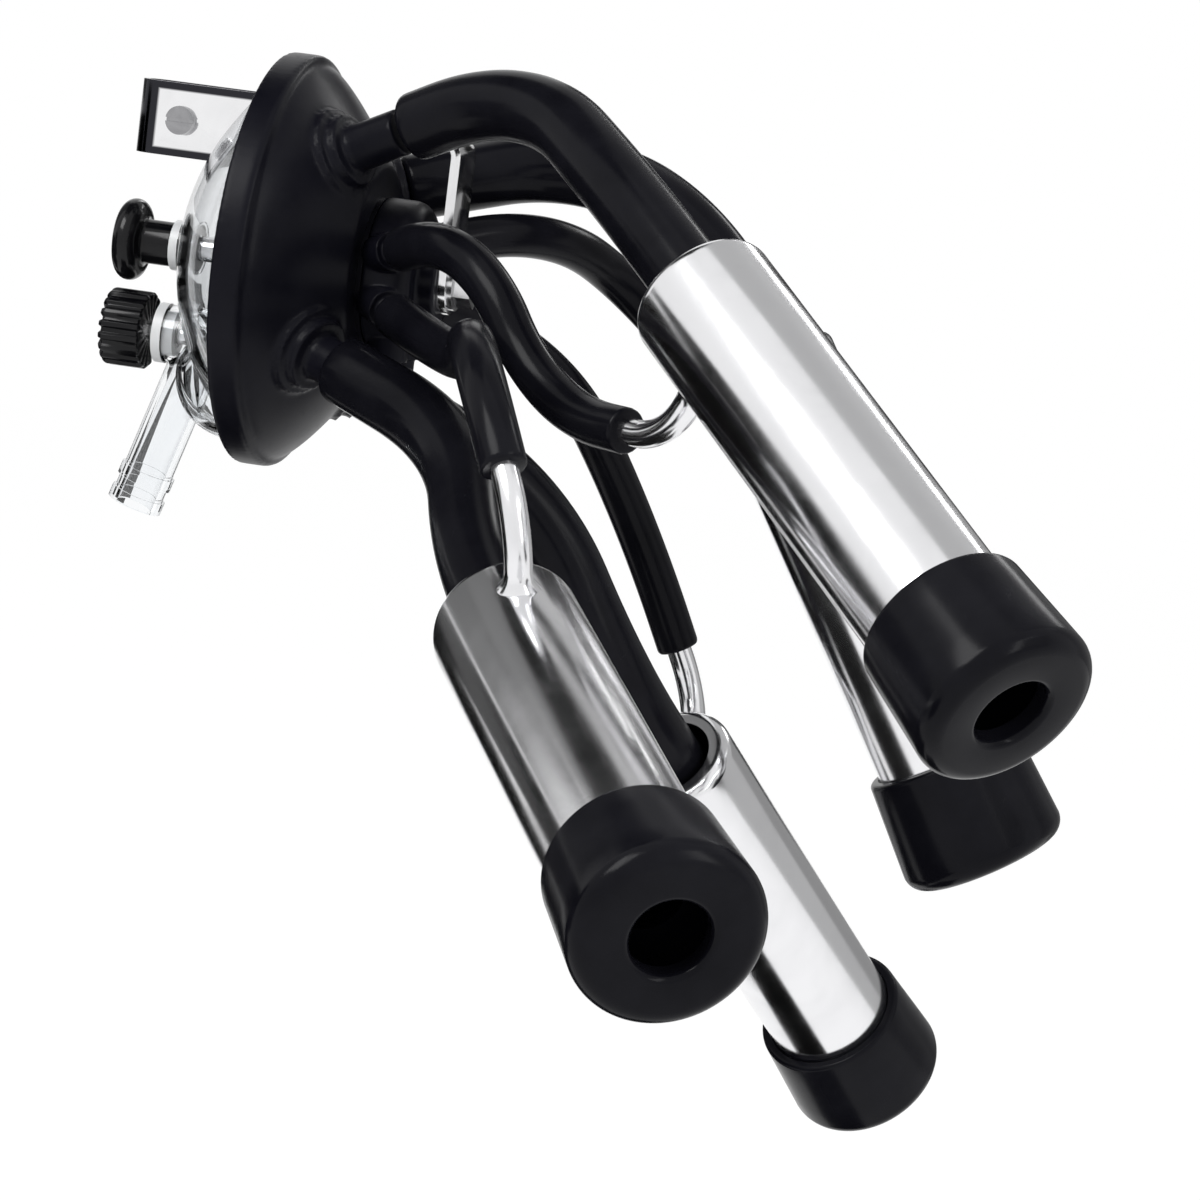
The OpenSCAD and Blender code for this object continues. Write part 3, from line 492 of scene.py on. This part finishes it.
finishes = {
    "rubber": skinMaterial("tubeRubber", {
        "deep": (0.004, 0.004, 0.006), "bloom": (0.008, 0.008, 0.011), "roughness": (0.17, 0.25),
        "rubs": 0.08, "grain": 0.08, "gloss": 0.08, "cloudScale": 35.0, "grainScale": 1700.0}),
    "cover": skinMaterial("coverMoulding", {
        "deep": (0.004, 0.004, 0.007), "bloom": (0.008, 0.008, 0.012), "roughness": (0.28, 0.38),
        "rubs": 0.08, "grain": 0.10, "gloss": 0.08, "cloudScale": 28.0, "grainScale": 1500.0}),
    "knob": skinMaterial("knobMoulding", {
        "deep": (0.003, 0.003, 0.004), "bloom": (0.006, 0.006, 0.007), "roughness": (0.12, 0.20),
        "rubs": 0.12, "grain": 0.03, "gloss": 0.22, "cloudScale": 60.0, "grainScale": 1300.0}),
    "pale": skinMaterial("paleSeal", {
        "deep": (0.70, 0.71, 0.72), "bloom": (0.80, 0.81, 0.81), "roughness": (0.30, 0.42), "rubs": 0.10,
        "grain": 0.06, "gloss": 0.5, "cloudScale": 60.0, "grainScale": 1500.0}),
    "shell": metalMaterial("shellSteel", {
        "bright": (0.80, 0.80, 0.815), "dull": (0.74, 0.74, 0.755), "roughness": (0.14, 0.23), "lines": 0.12,
        "lineScale": (25.0, 25.0, 2400.0), "smearScale": 28.0, "attribute": "cupPlace"}),
    "strap": metalMaterial("strapSteel", {
        "bright": (0.80, 0.80, 0.81), "dull": (0.70, 0.70, 0.71), "roughness": (0.10, 0.22), "lines": 0.12,
        "lineScale": (150.0, 1800.0, 150.0), "smearScale": 70.0, "attribute": ""}),
    # loop steel with a painted dark reflection along the strap's edges and round its bend
    "loop": paintedEdgeReflectionMaterial("loopSteelPaintedReflection", {
        "bright": (0.86, 0.86, 0.87), "dull": (0.80, 0.80, 0.81), "roughness": (0.10, 0.20), "lines": 0.10,
        "lineScale": (150.0, 1800.0, 150.0), "smearScale": 70.0, "attribute": "",
        "middle": -0.0035, "band": 0.0094, "bend": -0.0872,
        "bandFade": 0.0006, "bendFade": 0.0008, "paintedReflectionTone": (0.03, 0.03, 0.035)}),
    "bolt": metalMaterial("boltSteel", {
        "bright": (0.72, 0.72, 0.73), "dull": (0.60, 0.60, 0.61), "roughness": (0.16, 0.30), "lines": 0.15,
        "lineScale": (1500.0, 200.0, 200.0), "smearScale": 90.0, "attribute": ""}),
    "screw": metalMaterial("screwSteel", {
        "bright": (0.34, 0.34, 0.35), "dull": (0.22, 0.22, 0.23), "roughness": (0.20, 0.34), "lines": 0.15,
        "lineScale": (300.0, 300.0, 300.0), "smearScale": 120.0, "attribute": ""}),
    # clear bowl with a painted dark reflection towards its outline
    "clear": clearMaterial("clearBowl", {
        "clear": (0.95, 0.96, 0.97), "hazy": (0.90, 0.92, 0.935), "roughness": (0.015, 0.05), "ior": 1.49,
        "paintedEdgeReflection": (0.10, 0.11, 0.13), "paintedEdgeFrom": 0.62, "cloudScale": 30.0, "grainScale": 900.0}),
}


def dress(obj, finish):
    obj.data.materials.clear()
    obj.data.materials.append(finishes[finish])


def dressNode(name, finish):
    for slot in nodes[name].material_slots:
        slot.material = finishes[finish]


def finishPiece(obj, body, finish, node):
    dress(obj, finish)
    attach(obj, body)
    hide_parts(node)


for name, finish in (
    ("claw_bowl", "clear"), ("bowl_gasket", "rubber"), ("distributor_gasket", "rubber"),
    ("hook_washer", "bolt"), ("clamp_bolt", "bolt"), ("clamp_seal", "pale"), ("valve_bonnet", "pale"),
    ("stem_seal", "rubber"), ("valve_stem", "bolt"), ("valve_plug", "rubber"), ("bracket_screw", "screw"),
    ("bracket_nut", "bolt"),
):
    dressNode(name, finish)
print("materials ready")

# cover: a bell with four nipples
coverSizes = {
    "rimR": 65, "skirt": -7, "rimFront": 3, "rimRound": 2, "bellRoot": 62.5, "bellTop": 33, "bellTopAt": 28,
    "swell": 0.8, "seat": 55.5, "wall": 3.5, "skirtBore": 62.2, "inside": 1.5, "boltHole": 4.1,
    "sunk": 8, "collarR": 11.5, "rootR": 14.5, "rootLong": 8.5, "stemR": 7.4, "stemLong": 30,
    "voxel": 0.95, "rounds": 8,
}


def bellCurve(startAt, startR, endAt, endR, steps=24):
    shares = [k / steps for k in range(steps + 1)]
    return [
        (startAt + (endAt - startAt) * v ** coverSizes["swell"], startR - (startR - endR) * v)
        for v in shares
    ]


def makeCover():
    s = coverSizes
    bell = bellCurve(s["rimFront"], s["bellRoot"], s["bellTopAt"], s["bellTop"])
    inner = bellCurve(s["inside"], s["seat"], s["bellTopAt"] - s["wall"], s["bellTop"] - s["wall"] / 2)[::-1]
    rd = s["rimRound"]
    edge = [(x, r) for r, x in corner(s["rimR"] - rd, s["rimFront"] - rd, rd, 0, 90)]
    profile = [(s["skirt"], s["rimR"])] + edge + bell
    profile += [(s["bellTopAt"], s["boltHole"]), (s["bellTopAt"] - s["wall"], s["boltHole"])]
    profile += inner + [(s["inside"], s["skirtBore"]), (s["skirt"], s["skirtBore"])]
    cover = turnOnClaw("claw_bell", profile, steps=128)
    for i in range(4):
        foot, along = nippleLine(i)
        start = (foot - s["sunk"] * along - hookSeat) * mm
        collarLong = clawSizes["collarLong"] + s["sunk"]
        combine(cover, addRod("collar", start, along, collarLong, s["collarR"]), "UNION")
        combine(cover, addRod("root", start, along, s["rootLong"], s["rootR"]), "UNION")
        combine(cover, addRod("stem", start, along, s["stemLong"], s["stemR"]), "UNION")
    softenCasting(cover, s["voxel"], s["rounds"])
    settle(cover, 60)
    finishPiece(cover, "claw", "cover", "claw_cover")


makeCover()
print("cover done")

# distributor: rounded cap, boss, outlets and inlets
distSizes = {
    "round": 6, "edge": 0.5, "bossR": 13, "bossLong": 6, "bossRound": 1, "boltHole": 4.1,
    "sunk": 6, "outR": 4, "outExtra": 5, "rootR": 6.2, "rootLong": 9,
    "inletR": 4.5, "inletY": 9, "inletReach": 46, "shoulderR": 6.5, "shoulderReach": 26,
    "boreFrom": 30, "boreLong": 30, "boreR": 3, "voxel": 0.6, "rounds": 4,
}


def makeDistributor():
    s, back, r = distSizes, clawSizes["distBack"], clawSizes["distR"]
    front = back + clawSizes["distLong"]
    rd, brd, e = s["round"], s["bossRound"], s["edge"]
    top = [(x, y) for y, x in corner(r - rd, front - rd, rd, 0, 90, 8)]
    bossTop = front + s["bossLong"]
    boss = [(front, s["bossR"] + brd), (front + brd, s["bossR"])]
    boss += [(x, y) for y, x in corner(s["bossR"] - brd, bossTop - brd, brd, 0, 90, 4)]
    profile = [(back, s["boltHole"]), (back, r - e), (back + e, r)] + top + boss + [(bossTop, s["boltHole"])]
    cap = turnOnClaw("pulse_cap", profile, steps=96)
    for i in range(4):
        foot, along = outletLine(i)
        start = (foot - s["sunk"] * along - hookSeat) * mm
        outLong = clawSizes["outLong"] + s["outExtra"]
        combine(cap, addRod("outlet", start, along, outLong, s["outR"], 32), "UNION")
        combine(cap, addRod("outletRoot", start, along, s["rootLong"], s["rootR"], 32), "UNION")
    down = Vector((0, 0, -1))
    for y in (-s["inletY"], s["inletY"]):
        start = place(back + clawSizes["distLong"] / 2, y, 0)
        bore = place(back + clawSizes["distLong"] / 2, y, -s["boreFrom"])
        combine(cap, addRod("inlet", start, down, s["inletReach"], s["inletR"], 32), "UNION")
        combine(cap, addRod("shoulder", start, down, s["shoulderReach"], s["shoulderR"], 32), "UNION")
        combine(cap, addRod("inletBore", bore, down, s["boreLong"], s["boreR"], 32), "DIFFERENCE")
    softenCasting(cap, s["voxel"], s["rounds"])
    settle(cap, 60)
    finishPiece(cap, "claw", "cover", "pulse_distributor")


makeDistributor()
print("distributor done")

# hook: one bent strap with a rounded foot
hookSizes = {"back": 50, "thick": 3, "wide": 20, "seat": 43, "bend": 4, "run": 12, "tipBend": 2,
             "tipTurn": 40, "tipLong": 6, "edge": 0.6}


def makeHook():
    s = hookSizes
    legTop, runEnd = s["seat"] - s["bend"], s["back"] - s["bend"] - s["run"]
    line = [(s["back"], 0), (s["back"], legTop / 2)]
    line += corner(s["back"] - s["bend"], legTop, s["bend"], 0, 90, 8)
    line += corner(runEnd, s["seat"] - s["tipBend"], s["tipBend"], 90, 90 + s["tipTurn"], 6)
    turn = math.radians(s["tipTurn"])
    x, z = line[-1]
    line.append((x - s["tipLong"] * math.cos(turn), z - s["tipLong"] * math.sin(turn)))
    points = [place(x, -s["wide"] / 2, z) for x, z in line]
    hook = drawLine("hook_strap", points)
    pullSheet(hook, (0, s["wide"] * mm, 0))
    applyModifier(hook, "SOLIDIFY", thickness=s["thick"] * mm, offset=1.0, use_even_offset=True)
    foot = addRod("hookFoot", place(s["back"], 0, 0), Vector((1, 0, 0)), s["thick"], s["wide"] / 2, 64)
    combine(hook, foot, "UNION")
    cleanMesh(hook)
    bevelEdges(hook, s["edge"])
    settle(hook, 40)
    finishPiece(hook, "claw", "strap", "hanging_hook")


makeHook()

# bracket: strap folded round into a loop, its legs cut to the dome
loopSizes = {"lug": 10, "thick": 2, "high": 23, "middle": 39.5, "bendAt": -47, "domeAhead": 40.2,
             "domeR": 74.4, "edge": 0.9, "screwAt": -38.5, "screwHole": 2.6, "holeReach": 20}


def makeBracket():
    s = loopSizes
    half = s["lug"] / 2 + s["thick"]
    low = s["middle"] - s["high"] / 2
    line = [(0, -half), (s["bendAt"] / 2, -half)]
    line += corner(s["bendAt"], 0, half, 270, 90, 20)
    line += [(s["bendAt"] / 2, half), (0, half)]
    bracket = drawLine("loop_strap", [place(x, y, low) for x, y in line])
    pullSheet(bracket, (0, 0, s["high"] * mm))
    outward = max(bracket.data.polygons, key=lambda p: -p.center.x).normal.x  # the bend's face points to -X
    inwards = -1.0 if outward < 0 else 1.0
    applyModifier(bracket, "SOLIDIFY", thickness=s["thick"] * mm, offset=inwards, use_even_offset=True)
    deselectAll()
    bpy.ops.mesh.primitive_uv_sphere_add(
        segments=128, ring_count=64, radius=s["domeR"] * mm, location=place(s["domeAhead"], 0, 0),
    )
    combine(bracket, bpy.context.object, "DIFFERENCE")
    start = place(s["screwAt"], -s["holeReach"], s["middle"])
    hole = addRod("crossHole", start, Vector((0, 1, 0)), 2 * s["holeReach"], s["screwHole"], 32)
    combine(bracket, hole, "DIFFERENCE")
    cleanMesh(bracket)
    bevelEdges(bracket, s["edge"])
    settle(bracket, 40)
    finishPiece(bracket, "claw", "loop", "loop_bracket")


makeBracket()
print("hook and bracket done")

# hand knobs
clampSizes = {
    "seal": -38, "neck": 10, "neckR": 7, "neckEdge": 0.5, "neckFillet": 1.5, "disc": 8, "discR": 13,
    "bore": 4, "boreDeep": 6, "hollow": 1.2, "hollowDish": 0.2, "hollowFrom": 0.55, "hollowTo": 0.45,
}
valveSizes = {
    "back": -43, "long": 14, "r": 12.3, "drop": 28, "edge": 2, "land": 1, "backEdge": 0.8,
    "flutes": 18, "deep": 0.9, "fluteEdge": 0.25, "bore": 3, "boreDeep": 5,
    "hollow": 0.8, "hollowDish": 0.1, "hollowFrom": 0.6, "hollowTo": 0.5,
}


def makeClampKnob():
    s = clampSizes
    seal, neckR, e, f = s["seal"], s["neckR"], s["neckEdge"], s["neckFillet"]
    neckEnd = seal - s["neck"]
    face = neckEnd - s["disc"]
    rd = s["disc"] / 2
    profile = [(seal - s["boreDeep"], 0.0), (seal - s["boreDeep"], s["bore"]), (seal, s["bore"])]
    profile += [(seal, neckR - e), (seal - e, neckR)]
    profile += corner(neckEnd + f, neckR + f, f, 270, 180, 5)
    profile += corner(neckEnd - rd, s["discR"] - rd, rd, 0, 180, 15)
    profile += [(face, s["discR"] * s["hollowFrom"]), (face + s["hollow"], s["discR"] * s["hollowTo"])]
    profile += [(face + s["hollow"] + s["hollowDish"], 0.0)]
    knob = turnOnClaw("clamp_mushroom", profile, steps=72, closed=False)
    settle(knob, 40)
    finishPiece(knob, "claw", "knob", "clamp_knob")


def makeValveKnob():
    s = valveSizes
    back, r, e, b = s["back"], s["r"], s["edge"], s["backEdge"]
    front = back - s["long"]
    profile = [(back - s["boreDeep"], 0.0), (back - s["boreDeep"], s["bore"]), (back, s["bore"])]
    profile += [(back, r - b), (back - b, r), (front + e + s["land"], r)]
    profile += corner(front + e, r - e, e, 90, 180, 6)
    profile += [(front, r * s["hollowFrom"]), (front + s["hollow"], r * s["hollowTo"])]
    profile += [(front + s["hollow"] + s["hollowDish"], 0.0)]
    knob = turnOnClaw("valve_grip", profile, drop=s["drop"], steps=s["flutes"] * 6, closed=False)
    activate(knob)
    bpy.ops.object.mode_set(mode="EDIT")
    bpy.ops.mesh.select_mode(type="FACE")
    bpy.ops.mesh.select_all(action="DESELECT")
    mesh = bmesh.from_edit_mesh(knob.data)
    middle = place(0, 0, -s["drop"])
    for face in mesh.faces:
        offset = face.calc_center_median() - middle
        angle = math.degrees(math.atan2(offset.z, offset.y)) % (360 / s["flutes"])
        outside = math.hypot(offset.y, offset.z) > (r - e * 0.9) * mm
        face.select = outside and angle < 360 / s["flutes"] / 3 + 0.5
    bmesh.update_edit_mesh(knob.data)
    bpy.ops.transform.shrink_fatten(value=-s["deep"] * mm)
    bpy.ops.mesh.select_mode(type="VERT")
    bpy.ops.object.mode_set(mode="OBJECT")
    bevelEdges(knob, s["fluteEdge"], segments=2, angle=30)
    settle(knob, 45)
    finishPiece(knob, "valve", "knob", "valve_knob")


makeClampKnob()
makeValveKnob()
print("knobs done")

# teat cups: one shell and one liner head, copied to four places
linerSizes = {
    "cuffAt": 140, "cuffR": 25.2, "cuffRound": 1.6, "cuffLip": 0.6, "headR": 27, "headRound": 6,
    "teatR": 11, "teatRound": 2.2, "lip": 6, "chamberR": 19, "chamberBack": 154, "slope": 1,
    "barrelR": 13.6, "barrelFrom": 60, "barrelTo": 149, "shellEnd": 150.2, "shellGap": 0.05, "ledge": 1.5,
    "tailR": 11.6, "endR": 10.6, "endSteps": (0.25, 0.9, 2.0), "endDrops": (1.4, 0.8, 0.25),
    "rootBack": 4, "rootIn": 8,
}
pulseSizes = {"hoseR": 7.0, "grip": 10, "endSteps": (0.2, 0.7, 1.5), "endDrops": (1.0, 0.5, 0.15)}


def markPlace(obj):  # keeps the cup's own coordinates for the polishing lines
    attribute = obj.data.attributes.new("cupPlace", "FLOAT_VECTOR", "POINT")
    for k, vert in enumerate(obj.data.vertices):
        attribute.data[k].vector = vert.co


def nippleBendAt(angle):  # middle of the shell's nipple along its bend, in the cup's frame
    s = cupSizes
    out = s["shellR"] + s["nippleStub"] + s["nippleBend"] * math.sin(angle)
    return Vector((out, 0, s["nippleStation"] - s["nippleBend"] * (1 - math.cos(angle))))


def makeShell():
    s = cupSizes
    r, wall, rd = s["shellR"], s["shellWall"], s["shellRound"]
    outer = [(s["shellHole"], s["holeUp"]), (s["shellHole"] + s["holeOut"], 0.0)]
    outer += corner(r - rd, rd, rd, -90, 0, 8)
    outer += [(r, z) for z in s["wallRings"]] + [(r, s["shellLong"])]
    inner = [(r - wall, s["shellLong"]), (r - wall, rd)]
    inner += corner(r - rd, rd, rd - wall, 0, -90, 8)
    inner += [(s["shellHole"], wall)]
    shell = turnOnCup("shell_body", outer + inner, steps=128)
    station, turn = s["nippleStation"], math.radians(s["nippleTurn"])
    path = [Vector((r - s["brazeSunk"], 0, station)), Vector((r + s["brazeOut"], 0, station))]
    path += [nippleBendAt(turn * k / 16) for k in range(17)]
    path.append(path[-1] + s["nippleTip"] * Vector((math.cos(turn), 0, -math.sin(turn))))
    radii = [s["brazeR"], s["brazeEndR"]] + [s["nippleR"]] * (len(path) - 3) + [s["nippleTipR"]]
    nipple = sweepTube("shell_nipple", [p * mm for p in path], radii, 8)
    joinPieces(shell, [nipple])
    markPlace(shell)
    return shell


def makeHead():
    s, shellR, mouth = linerSizes, cupSizes["shellR"], cupSizes["mouthAt"]
    cuffAt, cuffR, crd = s["cuffAt"], s["cuffR"], s["cuffRound"]
    headR, hrd, teatR, trd = s["headR"], s["headRound"], s["teatR"], s["teatRound"]
    outer = [(shellR + s["shellGap"], cuffAt + s["cuffLip"]), (shellR + s["cuffLip"], cuffAt)]
    outer += [(cuffR - crd, cuffAt)]
    outer += corner(cuffR - crd, cuffAt + crd, crd, -80, 0, 5)
    foot, straight = cuffAt + crd, mouth - hrd
    outer += [(cuffR + (headR - cuffR) * t, foot + (straight - foot) * t) for t in (0.25, 0.5, 0.75)]
    outer += corner(headR - hrd, straight, hrd, 0, 86, 10)
    outer += corner(teatR + trd, mouth - trd, trd, 95, 180, 6)
    lipEnd = mouth - s["lip"]
    inner = [
        (teatR, lipEnd), (s["chamberR"], lipEnd - s["slope"]),
        (s["chamberR"], s["chamberBack"]), (teatR, s["chamberBack"] - s["slope"]),
        (teatR, s["barrelFrom"]), (s["barrelR"], s["barrelFrom"]), (s["barrelR"], s["barrelTo"]),
        (shellR - s["ledge"], s["shellEnd"]), (shellR + s["shellGap"], s["shellEnd"]),
    ]
    return turnOnCup("liner_head", outer + inner, steps=96)


def copyPiece(obj, name):
    copy = obj.copy()
    copy.data = obj.data.copy()
    bpy.context.collection.objects.link(copy)
    return nameIt(copy, name)


def milkRoute(i):
    foot, along = nippleLine(i)
    tip = foot + clawSizes["nippleLong"] * along
    cup = cupDirection(i)
    at = Vector(cupSizes["at"][i])
    tail = at - cupSizes["tailLong"] * cup
    bend = bendPoints(tip, along, tail, cup)
    push = cupSizes["milkTubeLong"] - cupSizes["tailLong"] - pathLength(bend)
    start = tip - push * along
    s = linerSizes
    path = [start] + [start + step * along for step in s["endSteps"]]
    path += [start + (push * t) * along for t in (0.35, 0.7)] + bend
    path += [at - s["rootBack"] * cup, at + s["rootIn"] * cup]
    whole = pathLength(path)
    radii, run = [], 0.0
    for k, p in enumerate(path):
        if k:
            run += (p - path[k - 1]).length
        radii.append(s["endR"] + (s["tailR"] - s["endR"]) * min(1.0, run / whole))
    radii[:3] = [s["endR"] - drop for drop in s["endDrops"]]
    return path, radii


def pulseRoute(i):
    foot, along = outletLine(i)
    tip = foot + clawSizes["outLong"] * along
    s = cupSizes
    turn = math.radians(s["nippleTurn"])
    heading = Vector((math.cos(turn), 0, -math.sin(turn)))
    local = nippleBendAt(turn) + s["nippleTip"] * heading
    matrix = cupMatrix(i)
    end = matrix @ local
    arriving = -(matrix.to_3x3() @ heading)
    grip, r, steps = pulseSizes["grip"], pulseSizes["hoseR"], pulseSizes["endSteps"]
    bend = bendPoints(tip, along, end, arriving)
    first = tip - grip * along
    last = end + grip * arriving
    path = [first] + [first + step * along for step in steps] + bend
    path += [last - step * arriving for step in reversed(steps)] + [last]
    ends = [r - drop for drop in pulseSizes["endDrops"]]
    radii = ends + [r] * (len(path) - 2 * len(ends)) + ends[::-1]
    return path, radii


shellMaster = makeShell()
headMaster = makeHead()
for i in range(4):
    shell = copyPiece(shellMaster, f"cup_shell_{i + 1}")
    placeCup(shell, i)
    finishPiece(shell, "claw", "shell", f"shell_{i + 1}")
    head = copyPiece(headMaster, f"cup_liner_{i + 1}")
    placeCup(head, i)
    path, radii = milkRoute(i)
    tube = sweepTube("milkTube", toFrame(path), radii, 14)
    joinPieces(head, [tube])
    settle(head, 40)
    finishPiece(head, "claw", "rubber", f"liner_{i + 1}")
    path, radii = pulseRoute(i)
    hose = sweepTube(f"pulse_hose_{i + 1}", toFrame(path), radii, 10)
    settle(hose, 40)
    finishPiece(hose, "claw", "rubber", f"pulse_tube_{i + 1}")
    print("cup", i + 1, "done")
for master in (shellMaster, headMaster):
    activate(master)
    bpy.ops.object.delete()

# studio
stageSizes = {
    "floorAt": (0.1, 0, -0.85), "floorWide": 14, "floorTone": 0.86, "floorGlow": 1.22, "glowShare": 0.7,
    "roomLight": 0.55, "middle": (0.1, -0.05, -0.13), "camera": (0.38838, -1.54720, 0.06519),
    "aim": (0.0835, -0.0569, -0.1273), "up": (-0.18609, 0.30934, 0.93257), "lens": 153.0,
    "sensor": 36, "clipEnd": 100,
}
softboxes = [  # name, place, size, power
    ("keyLight", (-0.9, -1.3, 1.3), (1.0, 1.0), 26),
    ("fillLight", (1.6, -0.9, 0.5), (0.8, 1.2), 12),
    ("backLight", (0.4, 1.6, 1.0), (1.2, 0.8), 14),
]
cards = [  # name, offset to the right, above and towards the camera, size, tone, seen through the bowl
    ("cardLeft", (-0.76, -0.10, -0.34), (0.50, 0.70), 0.003, True),
    ("cardLeftFront", (-0.84, 0.02, 0.04), (0.26, 0.60), 0.003, False),
    ("cardLeftBack", (-0.42, -0.14, -0.66), (0.34, 0.60), 0.003, True),
    ("cardAbove", (0.30, 0.82, -0.24), (0.90, 0.90), 0.52, False),
    ("cardAboveLeft", (-0.56, 0.50, -0.50), (0.50, 0.50), 0.16, False),
    ("cardBelow", (-0.02, -0.50, -0.26), (0.20, 0.34), 0.003, False),
    ("cardBelowLeft", (-0.30, -0.46, -0.46), (0.24, 0.34), 0.003, True),
    ("cardTop", (-0.16, 0.50, -0.07), (0.30, 0.26), 0.01, False),
    ("cardUnder", (-0.16, -0.22, -0.05), (0.26, 0.26), 0.01, False),
    ("cardEdge", (0.24, 0.20, -0.85), (0.26, 0.40), 0.01, False),
    ("cardRight", (0.80, 0.16, -0.36), (0.60, 1.00), 0.50, False),
    ("cardRightFront", (0.70, 0.06, 0.50), (0.40, 0.60), 0.55, False),
    ("cardRightBack", (0.52, 0.12, -0.84), (0.60, 1.00), 0.30, False),
    ("cardNearRight", (0.17, 0.45, -0.66), (0.26, 0.26), 0.02, False),
    ("cardNearMiddle", (-0.425, 0.69, -0.33), (0.34, 0.34), 0.20, False),
    ("cardNearLeft", (-0.635, 0.12, -0.57), (0.26, 0.26), 0.10, False),
]


def seenRays(tree):  # 1 for rays that show a surface, 0 for those that only light it
    path = addNode(tree, "ShaderNodeLightPath")
    seen = path.outputs["Is Camera Ray"]
    for kind in ("Is Glossy Ray", "Is Transmission Ray"):
        either = addNode(tree, "ShaderNodeMath", [(0, seen), (1, path.outputs[kind])], operation="MAXIMUM")
        seen = either.outputs[0]
    return seen


def paleFloor():
    s = stageSizes
    material, tree, shader = newMaterial("paleFloor")
    output = tree.nodes["Material Output"]
    tree.nodes.remove(shader)
    diffuse = addNode(tree, "ShaderNodeBsdfDiffuse")
    diffuse.inputs["Color"].default_value = (s["floorTone"], s["floorTone"], s["floorTone"], 1)
    glow = addNode(tree, "ShaderNodeEmission")
    glow.inputs["Color"].default_value = (1, 1, 1, 1)
    glow.inputs["Strength"].default_value = s["floorGlow"]
    share = addNode(tree, "ShaderNodeMath", [(0, seenRays(tree))], operation="MULTIPLY")
    share.inputs[1].default_value = s["glowShare"]
    inputs = [(0, share.outputs[0]), (1, diffuse.outputs[0]), (2, glow.outputs[0])]
    mix = addNode(tree, "ShaderNodeMixShader", inputs)
    tree.links.new(mix.outputs[0], output.inputs["Surface"])
    return material


def whiteWorld():
    world = bpy.data.worlds.new("whiteRoom")
    bpy.context.scene.world = world
    world.use_nodes = True
    tree = world.node_tree
    background = tree.nodes["Background"]
    level = mapRange(tree, seenRays(tree), 0.0, 1.0, stageSizes["roomLight"], 1.0)
    background.inputs["Color"].default_value = (1, 1, 1, 1)
    tree.links.new(level, background.inputs["Strength"])


def viewAxes():
    back = (Vector(stageSizes["camera"]) - Vector(stageSizes["aim"])).normalized()
    right = Vector(stageSizes["up"]).cross(back).normalized()
    return back, right, back.cross(right)


def addCard(name, offset, size, level, seenThrough):  # shown in reflections only
    middle = Vector(stageSizes["middle"])
    back, right, above = viewAxes()
    where = middle + right * offset[0] + above * offset[1] + back * offset[2]
    facing = (middle - where).to_track_quat("Z", "Y").to_euler()
    deselectAll()
    bpy.ops.mesh.primitive_plane_add(size=1, location=where, rotation=facing)
    card = nameIt(bpy.context.object, name)
    card.scale = (size[0], size[1], 1)
    bpy.ops.object.transform_apply(location=True, rotation=True, scale=True)
    material, _, shader = newMaterial(name + "Tone")
    shader.inputs["Base Color"].default_value = (0, 0, 0, 1)
    shader.inputs["Specular IOR Level"].default_value = 0.0
    shader.inputs["Emission Color"].default_value = (level, level, level, 1)
    shader.inputs["Emission Strength"].default_value = 1.0
    card.data.materials.append(material)
    card.visible_camera = False
    card.visible_diffuse = False
    card.visible_transmission = seenThrough
    card.visible_shadow = False


def addSoftbox(name, where, size, power):
    facing = (Vector(stageSizes["middle"]) - Vector(where)).to_track_quat("-Z", "Y").to_euler()
    deselectAll()
    bpy.ops.object.light_add(type="AREA", location=where, rotation=facing)
    lamp = bpy.context.object
    lamp.name = name
    lamp.data.shape = "RECTANGLE"
    lamp.data.size, lamp.data.size_y = size
    lamp.data.energy = power


def setStage():
    s = stageSizes
    deselectAll()
    bpy.ops.mesh.primitive_plane_add(size=s["floorWide"], location=s["floorAt"])
    floor = nameIt(bpy.context.object, "pale_floor")
    bpy.ops.object.transform_apply(location=True, rotation=True, scale=True)
    floor.data.materials.append(paleFloor())
    whiteWorld()
    for softbox in softboxes:
        addSoftbox(*softbox)
    for card in cards:
        addCard(*card)
    back, right, above = viewAxes()
    turn = Matrix([[right[k], above[k], back[k]] for k in range(3)])
    bpy.ops.object.camera_add(location=s["camera"], rotation=turn.to_euler())
    camera = bpy.context.object
    camera.data.lens = s["lens"]
    camera.data.sensor_width = s["sensor"]
    camera.data.clip_end = s["clipEnd"]
    bpy.context.scene.camera = camera
    bpy.context.scene.view_settings.view_transform = "Standard"


setStage()
print("stage done")
